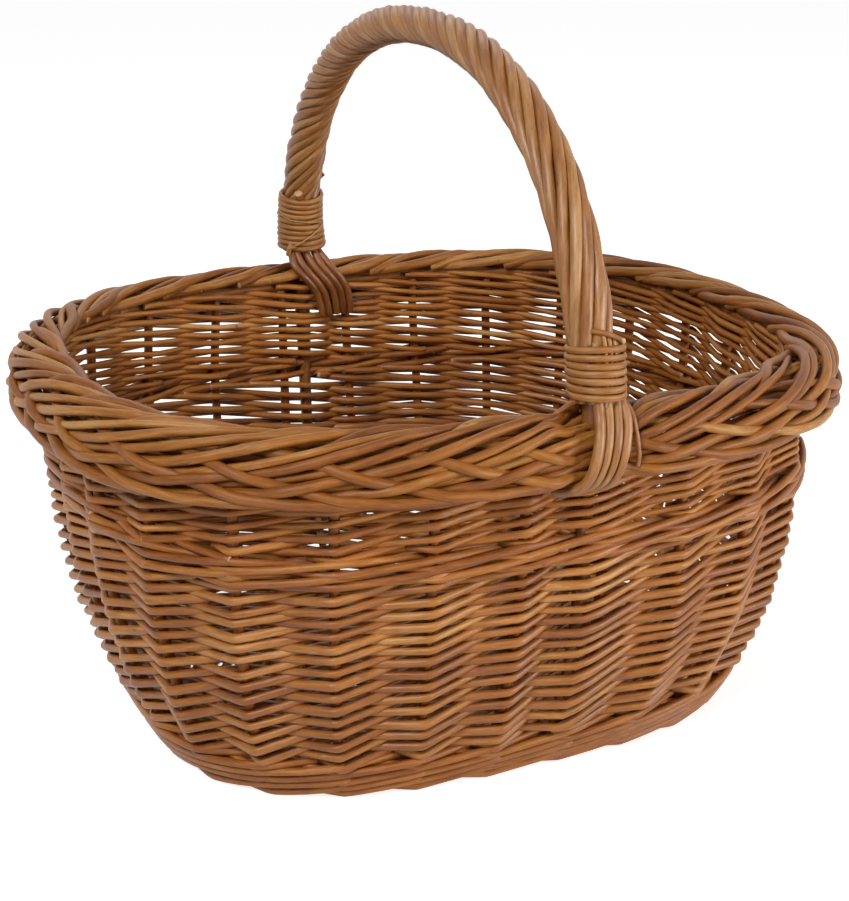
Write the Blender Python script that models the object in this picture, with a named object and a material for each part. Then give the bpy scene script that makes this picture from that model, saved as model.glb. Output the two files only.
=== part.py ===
"""Oval willow foraging basket with a fixed, roped handle.

Metres, +Z up. The basket stands on z = 0 with its long side along X and its front towards -Y.
Every piece is a willow rod or a band of weaving: base sticks, base weave, upright stakes, bands
of weaving round the stakes, a plaited border, and a handle bow with rods roped round it.
"""

import math

import bmesh
import bpy
import numpy as np
from mathutils import Vector

# Rim and foot, measured over the outside
RIM_LENGTH = 0.450
RIM_WIDTH = 0.391
FOOT_LENGTH = 0.3266
FOOT_WIDTH = 0.2558
RIM_SQUARENESS = 2.64
FOOT_SQUARENESS = 2.94
FLARE_POWER = 2.6

# Heights above the floor
BODY_HEIGHT = 0.182
UPSETT_HEIGHT = 0.0118
MID_WALE_HEIGHT = 0.016
UPPER_SIDING_HEIGHT = 0.030

# Rods
STAKE_COUNT = 26
STAKE_RADIUS = 0.00275
SIDING_ROD = 0.0038
CROSSING_HALF = 0.0025
WALE_ROD = 0.0045
CLEARANCE = 0.0003
ROD_SIDES = 6
CREASE_DEGREES = 50

# Base
STICK_RADIUS = 0.0035
STICK_SIDES = 8
BASE_COVER = 0.00375
CROSS_PITCH = 0.028
CROSS_EACH_WAY = 2
SLATH_HALF_WIDTH = 0.0145
LONG_STICK_FAN = 0.0085
LONG_STICK_REACH = 0.020
CROWDING = 4.5
SPLINT = 0.003
SLOT_CLEARANCE = 0.00035
ROOT_LENGTH = 0.030
ELBOW = 0.0055
ELBOW_RISE = 0.0005
ELBOW_TUCK = 0.0015
ELBOW_SLOPE = 2
FOOT_GAP = 0.0012
FOOT_TREAD = 0.0043
ARM_LEAD = 0.003

# Plaited border
BORDER_HEIGHT = 0.030
BORDER_OVERHANG = 0.0175
BORDER_INWARD = 0.0098
STAKE_TIP = 0.012
# Height, reach outward, reach inward and depth of the groove for the front tails
BORDER_SECTION_SHARES = (
    (0.01, 0.30, 0.70, 0.0),
    (0.11, 1.00, 0.71, 1.0),
    (0.53, 0.945, 0.72, 1.0),
    (0.83, 0.755, 1.00, 0.6),
    (1.00, 0.555, 0.45, 0.1),
)

# Handle
BOW_RADIUS = 0.005
BOW_LEAN = 0.020
FOOT_OUT = 0.0060
FRONT_FOOT_X = 0.010
BACK_FOOT_X = -0.007
ARCH_RISE = 0.1745
ARCH_SQUARENESS = 2.19
ARCH_STEPS = 20
NECK_STEPS = 4
ROPING_RADIUS = 0.0116
ROPING_CROWN = 0.0095
ROPING_NECK = 0.0112
ROPING_SIDES = 12
ROPING_CLEARANCE = 0.0004
ROPING_TAPER = 0.005

# Bindings, measured along the handle from where its arch begins
BINDING_ROD = 0.0028
BINDING_CLEARANCE = 0.0005
BINDING_MARGIN = 0.0015
FRONT_BINDING_START = 0.0175
FRONT_BINDING_TURNS = 7
FRONT_BINDING_PITCH = 0.0036
BACK_BINDING_START = 0.022
BACK_BINDING_TURNS = 10
BACK_BINDING_PITCH = 0.0036
FRONT_FREE_END = 0.0084
BACK_FREE_END = 0.0028
POINTS_PER_TURN = 16

# Handle rods that run on below the bindings
FRONT_TAIL_ROD = 0.0047
FRONT_TAIL_COUNT = 4
FRONT_TAIL_PITCH = 0.005
FRONT_TAIL_SIDE = 0.006
FRONT_TAIL_DRIFT = -0.010
INNER_TAIL_ROD = 0.0042
INNER_TAIL_COUNT = 2
INNER_TAIL_PITCH = 0.0047
INNER_TAIL_SIDE = -0.006
BACK_TAIL_ROD = 0.0036
BACK_TAIL_COUNT = 5
BACK_TAIL_PITCH = 0.0055
BACK_TAIL_DRIFT = 0.025
TAIL_RING = 0.0083
TAIL_LEAD = 0.002
TAIL_TIP_SHARE = 0.85
# Height of the border, outer face out from the wall, and how much of the drift is done
FRONT_TAIL_ROUTE_SHARES = (
    (1.017, 0.757, 0.15),
    (0.833, 0.856, 0.30),
    (0.567, 0.978, 0.50),
    (0.167, 1.020, 0.75),
    (-0.067, 0.964, 0.88),
    (-0.233, 0.793, 0.96),
    (-0.300, 0.452, 1.00),
)
# Height of the border, nearer face in from the wall, and how much of the drift is done
INNER_TAIL_ROUTE_SHARES = (
    (1.060, 0.420, 0.28),
    (0.890, 0.970, 0.42),
    (0.760, 1.040, 0.55),
    (0.520, 0.770, 0.75),
    (-0.200, 0.710, 1.00),
)

UP = Vector((0, 0, 1))
FRONT_SHARE, BACK_SHARE = 0.75, 0.25
SIDE_REACH_SHARE = 0.125
OVAL_STEPS = 2880
ARCH_TABLE_STEPS = 1440
SIDE_STEPS = 500

BUFF = (0.46, 0.235, 0.085, 1)
BUFF_DARK = (0.30, 0.135, 0.045, 1)
BUFF_LIGHT = (0.58, 0.34, 0.16, 1)
BUFF_RED = (0.36, 0.165, 0.06, 1)
SATIN, DULL, ROUGH = 0.5, 0.55, 0.6

# Sizes worked out from the ones above
WALL_HALF = STAKE_RADIUS + SIDING_ROD
WALE_HALF = STAKE_RADIUS + WALE_ROD
BASE_THICKNESS = 2 * (STICK_RADIUS + BASE_COVER)
STICK_HEIGHT = BASE_THICKNESS / 2
FOOT_TOP = BASE_THICKNESS + CLEARANCE
UPSETT_BOTTOM = FOOT_TOP + CLEARANCE
UPSETT_TOP = UPSETT_BOTTOM + UPSETT_HEIGHT
MID_WALE_TOP = BODY_HEIGHT - UPPER_SIDING_HEIGHT
MID_WALE_BOTTOM = MID_WALE_TOP - MID_WALE_HEIGHT
LOWER_THIRD = (MID_WALE_BOTTOM - UPSETT_TOP) / 3
RIM_TOP = BODY_HEIGHT + BORDER_HEIGHT
BORDER_OUTWARD = BORDER_OVERHANG + WALL_HALF
ARCH_BASE = BODY_HEIGHT + BOW_LEAN
BORDER_BOTTOM = BODY_HEIGHT + BORDER_SECTION_SHARES[0][0] * BORDER_HEIGHT
TAIL_GROOVE = FRONT_TAIL_ROD + 2 * CLEARANCE
LONG_GAP = 2 * SLOT_CLEARANCE
SLOT_LENGTH = 4 * STICK_RADIUS
SLOT_HALF_WIDTH = 2 * STICK_RADIUS + LONG_GAP / 2 + SLOT_CLEARANCE
SLOT_HALF_HEIGHT = STICK_RADIUS + SLOT_CLEARANCE
SWOLLEN_HALF_HEIGHT = SLOT_HALF_HEIGHT + SPLINT
CROSS_END_X = CROSS_EACH_WAY * CROSS_PITCH
# The wall is straight between these heights, so that stakes and their channels agree
WALL_KNOTS = (
    0,
    UPSETT_BOTTOM,
    UPSETT_TOP,
    UPSETT_TOP + LOWER_THIRD,
    UPSETT_TOP + 2 * LOWER_THIRD,
    MID_WALE_BOTTOM,
    BODY_HEIGHT,
    RIM_TOP,
)


def clear_scene():
    for obj in list(bpy.data.objects):
        bpy.data.objects.remove(obj)


def finish_of(name, colour, roughness):
    material = bpy.data.materials.new(name)
    material.use_nodes = True
    shader = material.node_tree.nodes["Principled BSDF"]
    shader.inputs["Base Color"].default_value = colour
    shader.inputs["Roughness"].default_value = roughness
    shader.inputs["Metallic"].default_value = 0
    return material


def place(obj, origin, basket, colour, roughness):
    """Gives the object its finish and its parent, with its own origin at the point given."""
    obj.data.materials.append(finish_of(obj.name + "_willow", colour, roughness))
    obj.location = origin
    obj.parent = basket
    bpy.context.scene.collection.objects.link(obj)
    return obj


def mesh_object(name, shape, origin):
    """An object made from a bmesh in world coordinates, which this function uses up."""
    bmesh.ops.recalc_face_normals(shape, faces=shape.faces)
    bmesh.ops.translate(shape, verts=shape.verts, vec=-Vector(origin))
    mesh = bpy.data.meshes.new(name)
    shape.to_mesh(mesh)
    shape.free()
    mesh.shade_smooth()
    mesh.set_sharp_from_angle(angle=math.radians(CREASE_DEGREES))
    return bpy.data.objects.new(name, mesh)


def loop_of(shape, points):
    return [shape.verts.new(point) for point in points]


def bridge(shape, first, second):
    """A strip of faces between two loops with as many points each."""
    for i in range(len(first)):
        j = (i + 1) % len(first)
        shape.faces.new((first[i], first[j], second[j], second[i]))


def oval(half_length, half_width, squareness, angle):
    """A point of a rounded oval and its outward normal, both level."""
    power = 2 / squareness
    c, s = math.cos(angle), math.sin(angle)
    x = half_length * math.copysign(abs(c) ** power, c)
    y = half_width * math.copysign(abs(s) ** power, s)
    slope_x = math.copysign((abs(x) / half_length) ** (squareness - 1), x) / half_length
    slope_y = math.copysign((abs(y) / half_width) ** (squareness - 1), y) / half_width
    return Vector((x, y, 0)), Vector((slope_x, slope_y, 0)).normalized()


def middle_at(height):
    """Half length, half width and squareness of the wall's middle at this height."""
    share = min(height / BODY_HEIGHT, 1)
    flare = 1 - (1 - share) ** FLARE_POWER
    length_gain = RIM_LENGTH - 2 * BORDER_OVERHANG - FOOT_LENGTH
    width_gain = RIM_WIDTH - 2 * BORDER_OVERHANG - FOOT_WIDTH
    return (
        (FOOT_LENGTH + flare * length_gain) / 2 - WALL_HALF,
        (FOOT_WIDTH + flare * width_gain) / 2 - WALL_HALF,
        FOOT_SQUARENESS + share * (RIM_SQUARENESS - FOOT_SQUARENESS),
    )


def share_to_angle():
    """Angles that divide the oval half way up by length, as a table of shares and angles."""
    angles = np.linspace(0, 2 * math.pi, OVAL_STEPS + 1)
    sizes = middle_at(BODY_HEIGHT / 2)
    points = np.array([oval(*sizes, angle)[0][:2] for angle in angles])
    steps = np.linalg.norm(np.diff(points, axis=0), axis=1)
    lengths = np.concatenate([[0], np.cumsum(steps)])
    return lengths / lengths[-1], angles


SHARES, ANGLES = share_to_angle()


def wall_point(share, height, outward=0.0):
    """The point of the wall at this share of the way round, this far out from its middle."""
    angle = float(np.interp(share % 1, SHARES, ANGLES))
    upper = next(i for i, knot in enumerate(WALL_KNOTS) if height <= knot or knot == RIM_TOP)
    upper = max(upper, 1)
    low, high = WALL_KNOTS[upper - 1], WALL_KNOTS[upper]
    mix = (height - low) / (high - low)
    below, below_out = oval(*middle_at(low), angle)
    above, above_out = oval(*middle_at(high), angle)
    out = below_out.lerp(above_out, mix)
    return below.lerp(above, mix) + out * outward + UP * height


def outward_at(share, height):
    return (wall_point(share, height, STAKE_RADIUS) - wall_point(share, height)) / STAKE_RADIUS


def sideways_at(share, height):
    return UP.cross(outward_at(share, height)).normalized()


def stake_share(index):
    """Stakes stand half a step either side of the handle, and evenly from there."""
    return (BACK_SHARE + (index + 0.5) / STAKE_COUNT) % 1


def arm_share(side_share, place_along):
    """Base sticks end in every second gap between stakes."""
    return (side_share + 2 * place_along / STAKE_COUNT) % 1


def section(centre, across, outward, radius, sides, turn=0.0):
    """A polygon round the centre, with a point along outward when its sides are even."""
    points = []
    for i in range(sides):
        angle = math.pi / 2 + turn + 2 * math.pi * i / sides
        points.append(centre + (across * math.cos(angle) + outward * math.sin(angle)) * radius)
    return points


def tube(name, sections, origin):
    """A closed rod through a row of sections, each a list of points."""
    shape = bmesh.new()
    loops = [loop_of(shape, points) for points in sections]
    for first, second in zip(loops, loops[1:]):
        bridge(shape, first, second)
    shape.faces.new(loops[0])
    shape.faces.new(loops[-1])
    return mesh_object(name, shape, origin)


def curve_rod(name, points, radius, tip_share, basket, colour, roughness):
    """A rod along points of its own, tapering to a share of its radius."""
    origin = Vector(points[0])
    curve = bpy.data.curves.new(name, "CURVE")
    curve.dimensions = "3D"
    curve.bevel_depth = radius
    curve.bevel_resolution = 1
    curve.use_fill_caps = True
    spline = curve.splines.new("POLY")
    spline.points.add(len(points) - 1)
    for i, point in enumerate(points):
        spline.points[i].co = (*(Vector(point) - origin), 1)
        spline.points[i].radius = 1 + (tip_share - 1) * i / (len(points) - 1)
    spline.use_smooth = True
    return place(bpy.data.objects.new(name, curve), origin, basket, colour, roughness)


def channel_reach(radius):
    """How far the corners of a square channel lie from its middle."""
    return math.sqrt(2) * (radius + CLEARANCE)


def square_channel(centre, across, outward, radius):
    reach = channel_reach(radius)
    return [centre + side * reach for side in (across, outward, -across, -outward)]


def cap_cell(shape, outer, inner, hole):
    """The end face of one cell of a band: three outer and three inner points, and a hole."""
    before, at, after = outer
    before_in, at_in, after_in = inner
    if hole is None:
        shape.faces.new((before, at, at_in, before_in))
        shape.faces.new((at, after, after_in, at_in))
    elif len(hole) == 4:
        ahead, out, back, within = hole
        shape.faces.new((at, after, ahead, out))
        shape.faces.new((after, after_in, ahead))
        shape.faces.new((after_in, at_in, within, ahead))
        shape.faces.new((at_in, before_in, back, within))
        shape.faces.new((before_in, before, back))
        shape.faces.new((before, at, out, back))
    else:
        ring = (at, before, before_in, at_in, after_in, after)
        for i in range(6):
            j = (i + 1) % 6
            shape.faces.new((ring[i], ring[j], hole[j], hole[i]))


def band(name, rows, channels, origin):
    """A closed band of weaving.

    rows holds pairs of loops, the outer and inner face at each level, with a point at each
    station and one half way to the next. channels holds for each station None or its levels,
    whether it opens at the first row, and whether it opens at the last.
    """
    shape = bmesh.new()
    outers = [loop_of(shape, outer) for outer, inner in rows]
    inners = [loop_of(shape, inner) for outer, inner in rows]
    for faces in (outers, inners):
        for first, second in zip(faces, faces[1:]):
            bridge(shape, first, second)
    first_holes, last_holes = [], []
    for channel in channels:
        if channel is None:
            first_holes.append(None)
            last_holes.append(None)
            continue
        levels, opens_first, opens_last = channel
        loops = [loop_of(shape, level) for level in levels]
        for first, second in zip(loops, loops[1:]):
            bridge(shape, first, second)
        if not opens_first:
            shape.faces.new(loops[0])
        if not opens_last:
            shape.faces.new(loops[-1])
        first_holes.append(loops[0] if opens_first else None)
        last_holes.append(loops[-1] if opens_last else None)
    for outer, inner, holes in (
        (outers[0], inners[0], first_holes),
        (outers[-1], inners[-1], last_holes),
    ):
        for i, hole in enumerate(holes):
            at = (2 * i - 1, 2 * i, (2 * i + 1) % len(outer))
            cap_cell(shape, [outer[k] for k in at], [inner[k] for k in at], hole)
    return mesh_object(name, shape, origin)


def with_halves(shares):
    """Each share and the one half way to the next, going round once."""
    result = []
    for i, share in enumerate(shares):
        after = shares[(i + 1) % len(shares)]
        gap = (after - share) % 1
        result += [share, (share + gap / 2) % 1]
    return result


class Handle:
    """The middle line of the bow: its two ends in the wall and the arch between them."""

    def __init__(self):
        half_width = middle_at(BODY_HEIGHT)[1] + FOOT_OUT
        front = Vector((FRONT_FOOT_X, -half_width, ARCH_BASE))
        back = Vector((BACK_FOOT_X, half_width, ARCH_BASE))
        self.middle = (front + back) / 2
        self.half_span = (back - front).length / 2
        self.along = (back - front).normalized()
        self.across = self.along.cross(UP).normalized()
        angles = np.linspace(0, math.pi, ARCH_TABLE_STEPS + 1)
        self.points = [self.arch(angle) for angle in angles]
        steps = [(b - a).length for a, b in zip(self.points, self.points[1:])]
        self.lengths = np.concatenate([[0], np.cumsum(steps)])
        self.length = float(self.lengths[-1])
        self.front_share = share_on_side(FRONT_SHARE, FRONT_FOOT_X)
        self.back_share = share_on_side(BACK_SHARE, BACK_FOOT_X)
        self.front_end = FRONT_BINDING_START - BINDING_MARGIN
        self.back_end = self.length - BACK_BINDING_START + BINDING_MARGIN
        self.stops = self.arch_stops()

    def arch(self, angle):
        power = 2 / ARCH_SQUARENESS
        c, s = math.cos(angle), math.sin(angle)
        run = -math.copysign(abs(c) ** power, c) * self.half_span
        rise = max(s, 0) ** power * ARCH_RISE
        return self.middle + self.along * run + UP * rise

    def at(self, length):
        """Point, direction and outward direction at this length along the arch."""
        i = int(np.clip(np.searchsorted(self.lengths, length), 1, len(self.points) - 1))
        low, high = self.points[i - 1], self.points[i]
        mix = (length - self.lengths[i - 1]) / (self.lengths[i] - self.lengths[i - 1])
        direction = (high - low).normalized()
        return low.lerp(high, float(mix)), direction, self.across.cross(direction)

    def arch_stops(self):
        """Lengths along the arch at which the bow and the roping have a section."""
        front_top = FRONT_BINDING_START + FRONT_BINDING_TURNS * FRONT_BINDING_PITCH + BINDING_MARGIN
        back_top = BACK_BINDING_START + BACK_BINDING_TURNS * BACK_BINDING_PITCH + BINDING_MARGIN
        self.front_top, self.back_top = front_top, self.length - back_top
        front_neck = np.linspace(self.front_end, front_top, NECK_STEPS)
        even = np.linspace(front_top + ROPING_TAPER, self.back_top - ROPING_TAPER, ARCH_STEPS)
        back_neck = np.linspace(self.back_top, self.back_end, NECK_STEPS + 1)
        return [float(stop) for stop in (*front_neck, *even, *back_neck)]

    def centre_at_height(self, share, height):
        """The middle of the bow's end in the wall and the border, below its first arch stop."""
        front = share == self.front_share
        length = self.front_end if front else self.back_end
        arch_point = self.at(length)[0]
        base_point = self.points[0] if front else self.points[-1]
        if height <= BODY_HEIGHT:
            return wall_point(share, height)
        wall_top = wall_point(share, BODY_HEIGHT)
        low, high = (wall_top, base_point) if height <= ARCH_BASE else (base_point, arch_point)
        return low.lerp(high, (height - low.z) / (high.z - low.z))

    def end_section(self, share, height, radius, turn=0.0):
        outward = -self.along if share == self.front_share else self.along
        centre = self.centre_at_height(share, height)
        return section(centre, self.across, outward, radius, ROD_SIDES, turn)


def share_on_side(side_share, x):
    """The share round the wall of the place on a long side that lies at this x at its top."""
    low, high = side_share - SIDE_REACH_SHARE, side_share + SIDE_REACH_SHARE
    fine = np.linspace(low, high, SIDE_STEPS + 1)
    places = [wall_point(share, BODY_HEIGHT).x for share in fine]
    order = np.argsort(places)
    return float(np.interp(x, np.array(places)[order], fine[order]))


def wall_stations(handle, with_bow=True):
    """Shares of all upright rods in order round the wall, and which of them are the bow."""
    shares = [stake_share(i) for i in range(STAKE_COUNT)]
    if with_bow:
        shares += [handle.front_share, handle.back_share]
    return sorted(shares)


def bow_channel(handle, share, heights):
    """Six-sided levels of the bow's channel, its points going round as the band's do."""
    turn = 1 if share == handle.front_share else -1
    radius = BOW_RADIUS + ROPING_CLEARANCE
    levels = []
    for height in heights:
        points = handle.end_section(share, height, radius)
        levels.append(points if turn == 1 else [points[-i % ROD_SIDES] for i in range(ROD_SIDES)])
    return levels


def wall_band(name, handle, bottom, top, halves, origin_z, with_bow=True):
    """A band of weaving from one height to another, half as thick as halves gives.

    The first half is at each stake, and the second between stakes, where the rods cross.
    """
    shares = wall_stations(handle, with_bow)
    around = with_halves(shares)
    heights = [bottom, *[knot for knot in WALL_KNOTS if bottom < knot < top], top]
    rows = []
    for height in heights:
        outer = [wall_point(share, height, halves[i % 2]) for i, share in enumerate(around)]
        inner = [wall_point(share, height, -halves[i % 2]) for i, share in enumerate(around)]
        rows.append((outer, inner))
    channels = []
    for share in shares:
        if share in (handle.front_share, handle.back_share):
            channels.append((bow_channel(handle, share, heights), True, True))
            continue
        levels = [
            square_channel(
                wall_point(share, height),
                sideways_at(share, height),
                outward_at(share, height).normalized(),
                STAKE_RADIUS,
            )
            for height in heights
        ]
        channels.append((levels, True, True))
    return band(name, rows, channels, (0, 0, origin_z))


def border_band(handle):
    """The plaited border: one thick band that the stakes' tips end in and the bow runs through."""
    shares = wall_stations(handle)
    around = with_halves(shares)
    step = 1 / STAKE_COUNT
    rows = []
    for height_share, out_share, in_share, groove_share in BORDER_SECTION_SHARES:
        height = BODY_HEIGHT + height_share * BORDER_HEIGHT
        outer, inner = [], []
        for share in around:
            near_tails = abs(share - handle.front_share) < step
            groove = groove_share * TAIL_GROOVE if near_tails else 0
            outer.append(wall_point(share, height, out_share * BORDER_OUTWARD - groove))
            inner.append(wall_point(share, height, -in_share * BORDER_INWARD))
        rows.append((outer, inner))
    channels = []
    for share in shares:
        if share in (handle.front_share, handle.back_share):
            heights = (BORDER_BOTTOM, ARCH_BASE, RIM_TOP)
            channels.append((bow_channel(handle, share, heights), True, True))
            continue
        tip = BODY_HEIGHT + STAKE_TIP + CLEARANCE
        levels = [
            square_channel(
                wall_point(share, height),
                sideways_at(share, height),
                outward_at(share, height).normalized(),
                STAKE_RADIUS,
            )
            for height in (BORDER_BOTTOM, tip)
        ]
        channels.append((levels, True, False))
    return band("plaited_border", rows, channels, (0, 0, BORDER_BOTTOM))


def foot_band():
    """The first round of the upsett, which lies on the floor round the turned-up stakes."""
    around = with_halves([stake_share(i) for i in range(STAKE_COUNT)])
    clear_of_stakes = STAKE_RADIUS + 2 * CLEARANCE
    floor_inner = [
        weave_end(share) + outward_at(share, 0) * FOOT_GAP - UP * STICK_HEIGHT for share in around
    ]
    rows = [([wall_point(share, 0, STAKE_RADIUS) for share in around], floor_inner)]
    for height, outward in ((FOOT_TREAD, WALL_HALF), (FOOT_TOP, WALE_HALF)):
        outer = [wall_point(share, height, outward) for share in around]
        inner = [wall_point(share, height, clear_of_stakes) for share in around]
        rows.append((outer, inner))
    return band("upsett_first_round", rows, [None] * STAKE_COUNT, (0, 0, 0))


def arm_places():
    """Every arm of the base sticks: its share and the point where the weaving begins."""
    places = []
    for side_share, side in ((BACK_SHARE, 1), (FRONT_SHARE, -1)):
        last = CROSS_EACH_WAY + 1
        for step in range(-last, last + 1):
            along_x = -side * step * CROSS_PITCH
            if abs(step) == last:
                x = math.copysign(CROSS_END_X + LONG_STICK_REACH, along_x)
                point = Vector((x, side * LONG_STICK_FAN, STICK_HEIGHT))
            else:
                point = Vector((along_x, side * SLATH_HALF_WIDTH, STICK_HEIGHT))
            places.append((arm_share(side_share, step), point))
    return sorted(places, key=lambda place: place[0])


ARMS = arm_places()


def weave_start(share):
    """The inner edge of the base weave: straight between the arms, with room left at each."""
    after = next((i for i, arm in enumerate(ARMS) if arm[0] >= share % 1), 0)
    (low_share, low), (high_share, high) = ARMS[after - 1], ARMS[after]
    mix = ((share - low_share) % 1) / ((high_share - low_share) % 1)
    from_middle = 2 * mix - 1
    crowded = math.copysign(abs(from_middle) ** CROWDING, from_middle)
    return low.lerp(high, (1 + crowded) / 2)


def weave_end(share):
    """The outer edge of the base weave at this share."""
    return wall_point(share, STICK_HEIGHT, -ELBOW)


def flat_channel(centre, row_direction, across, radius):
    """A square channel cut where a row of the base weave crosses it."""
    reach = channel_reach(radius)
    sideways = row_direction * (reach / row_direction.dot(across))
    return [centre + sideways, centre + UP * reach, centre - sideways, centre - UP * reach]


def along_row(edge, share):
    """The direction of an edge of the base weave, going round the same way as the shares."""
    step = 0.5 / STAKE_COUNT
    return (edge(share + step) - edge(share - step)).normalized()


def root_direction(share):
    return (weave_end(share) - weave_start(share)).normalized()


def root_start(share):
    return weave_end(share) - root_direction(share) * ROOT_LENGTH


def base_weave():
    """The flat band of weaving round the base sticks, with channels for arms and roots."""
    arm_shares = [place[0] for place in ARMS]
    root_shares = [stake_share(i) for i in range(STAKE_COUNT)]
    shares = sorted(arm_shares + root_shares)
    around = with_halves(shares)
    rows = []
    for edge in (weave_start, weave_end):
        points = [edge(share) for share in around]
        rows.append(([p + UP * STICK_HEIGHT for p in points], [p - UP * STICK_HEIGHT for p in points]))
    channels = []
    for share in shares:
        direction = root_direction(share)
        across = UP.cross(direction)
        radius = STICK_RADIUS if share in arm_shares else STAKE_RADIUS
        outer_level = flat_channel(
            weave_end(share), along_row(weave_end, share), across, radius
        )
        if share in arm_shares:
            inner_level = flat_channel(
                weave_start(share), along_row(weave_start, share), across, radius
            )
            channels.append(([inner_level, outer_level], True, True))
        else:
            blind = root_start(share) - direction * CLEARANCE
            inner_level = flat_channel(blind, across, across, radius)
            channels.append(([inner_level, outer_level], False, True))
    return band("base_weave", rows, channels, (0, 0, 0))


def arm_points(share):
    """An arm from the edge of the base in to just short of the cross of sticks."""
    return [
        weave_end(share),
        weave_start(share),
        weave_start(share) - root_direction(share) * ARM_LEAD,
    ]


def stick_path(first_share, middle_points, second_share):
    return [*arm_points(first_share), *middle_points, *reversed(arm_points(second_share))]


def flat_frames(points):
    """At each point of a level path, the level direction across it."""
    result = []
    for i in range(len(points)):
        before, after = points[max(i - 1, 0)], points[min(i + 1, len(points) - 1)]
        result.append(UP.cross((after - before).normalized()))
    return result


def base_stick(name, points, half_heights):
    """A stick lying level, whose half height may swell along its length."""
    sections = []
    for point, across, half_height in zip(points, flat_frames(points), half_heights):
        sections.append(
            [
                point + across * (STICK_RADIUS * math.cos(angle)) + UP * (half_height * math.sin(angle))
                for angle in (2 * math.pi * (i + 0.5) / STICK_SIDES for i in range(STICK_SIDES))
            ]
        )
    return tube(name, sections, points[len(points) // 2])


def cross_stick(number, step):
    """A short stick, split in its middle round the two long ones."""
    x = -step * CROSS_PITCH
    front_share = arm_share(FRONT_SHARE, -step)
    back_share = arm_share(BACK_SHARE, step)
    middle = [Vector((x, y, STICK_HEIGHT)) for y in (-SLOT_HALF_WIDTH, 0, SLOT_HALF_WIDTH)]
    points = stick_path(front_share, middle, back_share)
    arm_heights = [STICK_RADIUS] * len(arm_points(front_share))
    heights = [*arm_heights, *[SWOLLEN_HALF_HEIGHT] * len(middle), *arm_heights]
    stick = base_stick(f"base_cross_stick_{number}", points, heights)
    bpy.ops.mesh.primitive_cube_add(size=1)
    cutter = bpy.context.object
    cutter.name = f"slot_cutter_{number}"
    for vertex in cutter.data.vertices:
        vertex.co.x *= SLOT_LENGTH
        vertex.co.y *= 2 * SLOT_HALF_WIDTH
        vertex.co.z *= 2 * SLOT_HALF_HEIGHT
    cutter.location = (x, 0, STICK_HEIGHT)
    cutter.hide_render = True
    cutter.display_type = "WIRE"
    cut = stick.modifiers.new("slot", "BOOLEAN")
    cut.object = cutter
    cut.operation = "DIFFERENCE"
    return stick


def long_stick(name, side_share, side):
    """A long stick: straight through the slots of the cross sticks, its ends fanned out."""
    last = CROSS_EACH_WAY + 1
    y = side * (STICK_RADIUS + LONG_GAP / 2)
    end_x = CROSS_END_X + STICK_RADIUS
    first = arm_share(side_share, side * last)
    second = arm_share(side_share, -side * last)
    middle = [Vector((x, y, STICK_HEIGHT)) for x in (-end_x, 0, end_x)]
    points = stick_path(first, middle, second)
    return base_stick(name, points, [STICK_RADIUS] * len(points))


def stake(index):
    """An upright rod: a root in the base weave, a bend, the wall, and a tip in the border."""
    share = stake_share(index)
    direction = root_direction(share)
    root_across = UP.cross(direction)
    out = outward_at(share, STICK_HEIGHT).normalized()
    side = sideways_at(share, STICK_HEIGHT)
    elbow = wall_point(share, STICK_HEIGHT + ELBOW_RISE, -ELBOW_TUCK)
    elbow_out = (out - UP * ELBOW_SLOPE).normalized()
    sections = [
        section(root_start(share), root_across, -UP, STAKE_RADIUS, ROD_SIDES),
        section(weave_end(share), root_across, -UP, STAKE_RADIUS, ROD_SIDES),
        section(elbow, side, elbow_out, STAKE_RADIUS, ROD_SIDES),
    ]
    heights = [knot for knot in WALL_KNOTS if 0 < knot <= BODY_HEIGHT] + [BODY_HEIGHT + STAKE_TIP]
    for height in heights:
        outward = outward_at(share, height).normalized()
        across = sideways_at(share, height)
        centre = wall_point(share, height)
        sections.append(section(centre, across, outward, STAKE_RADIUS, ROD_SIDES))
    return tube(f"stake_{index + 1:02d}", sections, wall_point(share, STICK_HEIGHT))


def handle_bow(handle):
    """The thick rod inside the handle, its ends pushed down beside the stakes."""
    tip = UPSETT_TOP + CLEARANCE
    heights = [tip, *[knot for knot in WALL_KNOTS if tip < knot <= BODY_HEIGHT], ARCH_BASE]
    radius = BOW_RADIUS
    sections = [handle.end_section(handle.front_share, height, radius) for height in heights]
    for length in handle.stops:
        point, direction, outward = handle.at(length)
        sections.append(section(point, handle.across, outward, radius, ROD_SIDES))
    for height in reversed(heights):
        sections.append(handle.end_section(handle.back_share, height, radius))
    return tube("handle_bow", sections, handle.middle)


def roping_radius(handle, length):
    """The rope is drawn in under the bindings, and thinnest at the crown of the arch."""
    if length <= handle.front_top or length >= handle.back_top:
        return ROPING_NECK
    from_crown = abs(2 * length / handle.length - 1)
    swell = 1 - (1 - from_crown) ** 2
    return ROPING_CROWN + swell * (ROPING_RADIUS - ROPING_CROWN)


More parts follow.
